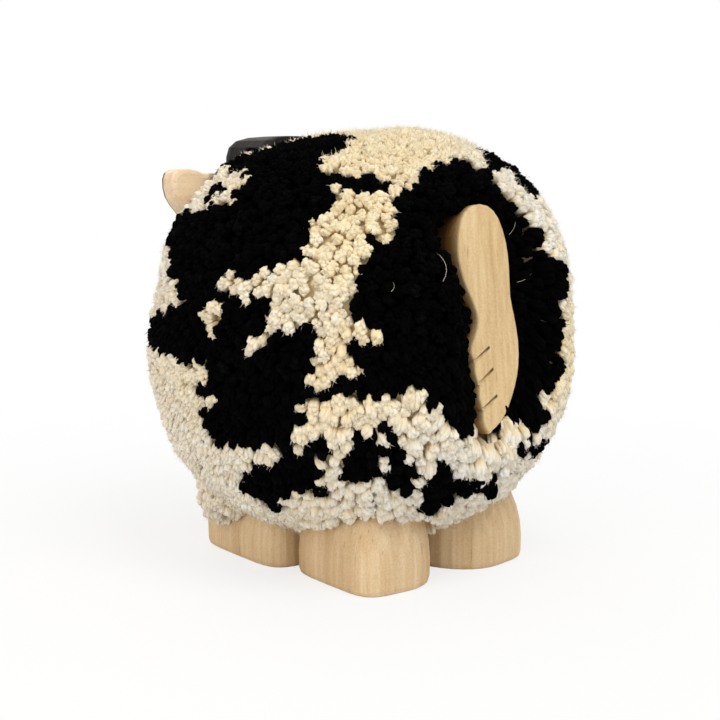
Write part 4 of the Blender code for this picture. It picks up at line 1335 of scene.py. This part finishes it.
@dataclass
class Studio:
    """The floor, the lamps and the camera."""

    azimuth: float = 137.04
    elevation: float = 7.72
    distance: float = 0.600
    lens: float = 68.27
    sensor_width: float = 36.0
    target_from_ball: Place = (0.00227, 0.00031, -0.01307)
    world_light: float = 0.70
    floor_size: float = 6.0
    floor_grey: float = 0.88
    shadow_inner: float = 0.09
    shadow_outer: float = 0.42
    shadow_white: float = 0.74

    def build(self) -> None:
        """Sets everything up round the object."""
        low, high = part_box("body_core")
        self.middle = (low + high) / 2.0
        self._floor()
        self._world()
        self._lamp("key", (0.15, 0.80, 1.05), distance=0.95, size=0.45, power=3.9, tint=(1.0, 0.98, 0.94))
        self._lamp("fill", (1.0, 0.10, 0.40), distance=1.00, size=0.80, power=2.2, tint=(1.0, 0.84, 0.68))
        self._lamp("front", (-0.3, -1.0, 0.6), distance=1.10, size=0.80, power=2.2, tint=WHITE)
        self._camera()
        bpy.context.scene.view_settings.view_transform = "Standard"

    def _floor(self) -> None:
        """A plain pale floor that keeps a soft shadow and turns white away from the object."""
        half = self.floor_size / 2.0
        corners = [(-half, -half, 0), (half, -half, 0), (half, half, 0), (-half, half, 0)]
        mesh = bpy.data.meshes.new("floor")
        mesh.from_pydata(corners, [], [(0, 1, 2, 3)])
        floor = bpy.data.objects.new("floor", mesh)
        bpy.context.scene.collection.objects.link(floor)
        shader = Shader("pale_floor")
        shader.tree.nodes.clear()
        away = shader.node("VectorMath", {0: shader.place()}, operation="LENGTH").outputs["Value"]
        white = shader.spread(away, self.shadow_inner, self.shadow_outer, self.shadow_white, 1.0)
        seen = shader.node("LightPath", {}).outputs["Is Camera Ray"]
        matte = shader.node("BsdfDiffuse", {"Color": (*thrice(self.floor_grey), 1.0)}).outputs["BSDF"]
        glow = shader.node("Emission", {}).outputs["Emission"]
        self._blend(shader, "OutputMaterial", shader.math("MULTIPLY", seen, white), matte, glow)
        mesh.materials.append(shader.material)

    def _world(self) -> None:
        """An even white surround, which looks plain white itself."""
        world = bpy.data.worlds.new("studio")
        bpy.context.scene.world = world
        world.use_nodes = True
        nodes = Nodes(world.node_tree)
        nodes.tree.nodes.clear()
        lit, plain = (nodes.node("Background", {"Color": (*WHITE, 1.0), "Strength": strength})
                      for strength in (self.world_light, 1.0))
        rays = nodes.node("LightPath", {}).outputs
        seen = nodes.math("MAXIMUM", rays["Is Camera Ray"], rays["Is Glossy Ray"])
        seen = nodes.math("MAXIMUM", seen, rays["Is Transmission Ray"])
        self._blend(nodes, "OutputWorld", seen, lit.outputs["Background"], plain.outputs["Background"])

    def _blend(self, nodes: Nodes, kind: str, share: Socket, first: Socket, second: Socket) -> None:
        """Blends two shaders by a share, and sends them to the output of that kind."""
        blend = nodes.node("MixShader", {"Fac": share, 1: first, 2: second}).outputs["Shader"]
        nodes.node(kind, {"Surface": blend})

    def _lamp(self, name: str, way: Place, distance: float, size: float, power: float,
              tint: Colour) -> None:
        """Adds a soft lamp that looks at the ball.

        Args:
            name: the lamp's name.
            way: the direction from the ball to the lamp.
            distance: how far away it is.
            size: the side of its square.
            power: its power in watts.
            tint: its colour.
        """
        lamp = bpy.data.lights.new(name, "AREA")
        lamp.size = size
        lamp.energy = power
        lamp.color = tint
        self._aim(name, lamp, self.middle, Vector(way).normalized(), distance)

    def _camera(self) -> None:
        """The photograph's viewpoint, behind the cow's left hip."""
        data = bpy.data.cameras.new("camera")
        data.lens = self.lens
        data.sensor_width = self.sensor_width
        turn, rise = math.radians(self.azimuth), math.radians(self.elevation)
        back = Vector((math.sin(turn) * math.cos(rise), -math.cos(turn) * math.cos(rise), math.sin(rise)))
        target = self.middle + Vector(self.target_from_ball)
        bpy.context.scene.camera = self._aim("camera", data, target, back, self.distance)

    def _aim(self, name: str, data: bpy.types.ID, target: Vector, back: Vector, distance: float) -> Piece:
        """Puts a lamp or camera away from a point, looking back at it.

        Args:
            name: its name.
            data: the lamp or camera.
            target: the point.
            back: the direction from the point to it.
            distance: how far away it is.

        Returns:
            The lamp or camera in its place.
        """
        holder = bpy.data.objects.new(name, data)
        bpy.context.scene.collection.objects.link(holder)
        holder.location = target + back * distance
        holder.rotation_mode = "QUATERNION"
        holder.rotation_quaternion = (-back).to_track_quat("-Z", "Y")
        return holder


def wooden_pieces() -> WoodenPieces:
    """Names the finish of each wooden piece.

    Returns:
        The wooden pieces, not yet dressed.
    """
    low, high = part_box("body_core")
    tail_up = Vector(TAIL_UP)
    board = (low + high) / 2.0 + Vector(TAIL_NORMAL) * TAIL_FACE - tail_up * TAIL_DROP
    grooves = (
        ((0.0124, -0.0058), (0.0026, -0.0006)),
        ((0.0116, -0.0154), (0.0014, -0.0094)),
        ((0.0104, -0.0254), (0.0003, -0.0202)),
    )
    # Lines along the carved grooves, where shade is painted.
    groove_shade_lines = []
    bare_ear = 0.0022
    for groove in grooves:
        groove_shade_lines.append(tuple(tuple(board + Vector((x, 0.0, 0.0)) + tail_up * up) for x, up in groove))
    pale = {"light": (0.76, 0.58, 0.36), "middle": (0.67, 0.485, 0.28), "dark": (0.56, 0.385, 0.205)}
    tan = {"light": (0.73, 0.54, 0.30), "middle": (0.65, 0.465, 0.24), "dark": (0.56, 0.38, 0.185)}
    light = {"light": (0.86, 0.70, 0.50), "middle": (0.79, 0.61, 0.41), "dark": (0.68, 0.50, 0.32)}
    paint = {"light": (0.020, 0.018, 0.017), "middle": (0.014, 0.013, 0.012), "dark": (0.009, 0.009, 0.008)}
    inner = {"light": (0.60, 0.42, 0.24), "middle": (0.52, 0.35, 0.19), "dark": (0.42, 0.27, 0.14)}
    return WoodenPieces(
        feet=WoodFinish("foot_wood", Grain.UPRIGHT, pore=(0.36, 0.22, 0.11), **pale),
        # The tail board gets painted shade in its grooves and on its edge in the wool.
        tail=WoodFinish("tail_wood", Grain.UPRIGHT, pore=(0.42, 0.27, 0.12), groove_shade_lines=tuple(groove_shade_lines),
                        face_place=tuple(board), **tan),
        ears=WoodFinish("ear_wood", Grain.ACROSS, pore=(0.45, 0.30, 0.16),
                        painted_ahead_of=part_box("ear_left")[0].y + bare_ear, **light),
        muzzle=WoodFinish("muzzle_wood", Grain.LENGTHWISE, pore=(0.40, 0.25, 0.12), **pale),
        head=WoodFinish("head_paint", Grain.UPRIGHT, pore=(0.005, 0.005, 0.005), roughness=0.60,
                        specular=0.16, **paint),
        hidden=WoodFinish("inner_wood", Grain.UPRIGHT, pore=(0.28, 0.16, 0.08), **inner),
        eyes=ButtonFinish(),
    )


def wool_coat() -> WoolCoat:
    """Names the two yarns of the coat.

    Returns:
        The coat, not yet built.
    """
    cream = WoolFinish(
        "cream_yarn", shade=(0.88, 0.73, 0.46), body=(0.94, 0.81, 0.55), bright=(0.97, 0.88, 0.66),
        # The root colour is painted shade deep in the pile, and the cool tint whitens listed plies.
        root=(0.92, 0.80, 0.56), cool_tint=(0.97, 1.06, 1.36),
    )
    black = WoolFinish(
        "black_yarn", shade=(0.0006, 0.0006, 0.0007), body=(0.0012, 0.0011, 0.0012),
        # The root colour is painted shade deep in the pile.
        bright=(0.0030, 0.0027, 0.0027), root=thrice(0.5), specular=0.02, sheen=0.0,
    )
    return WoolCoat(cream, black)


def main() -> None:
    """Builds the wool, dresses the wood and sets up the studio."""
    logging.basicConfig(level=logging.INFO, format="%(message)s")
    for piece in wooden_pieces().dress():
        logger.info("dressed %s", piece.name)
    for piece in wool_coat().build():
        logger.info("made %s, %d faces", piece.name, len(piece.data.polygons))
    Studio().build()


if __name__ == "__main__":
    main()
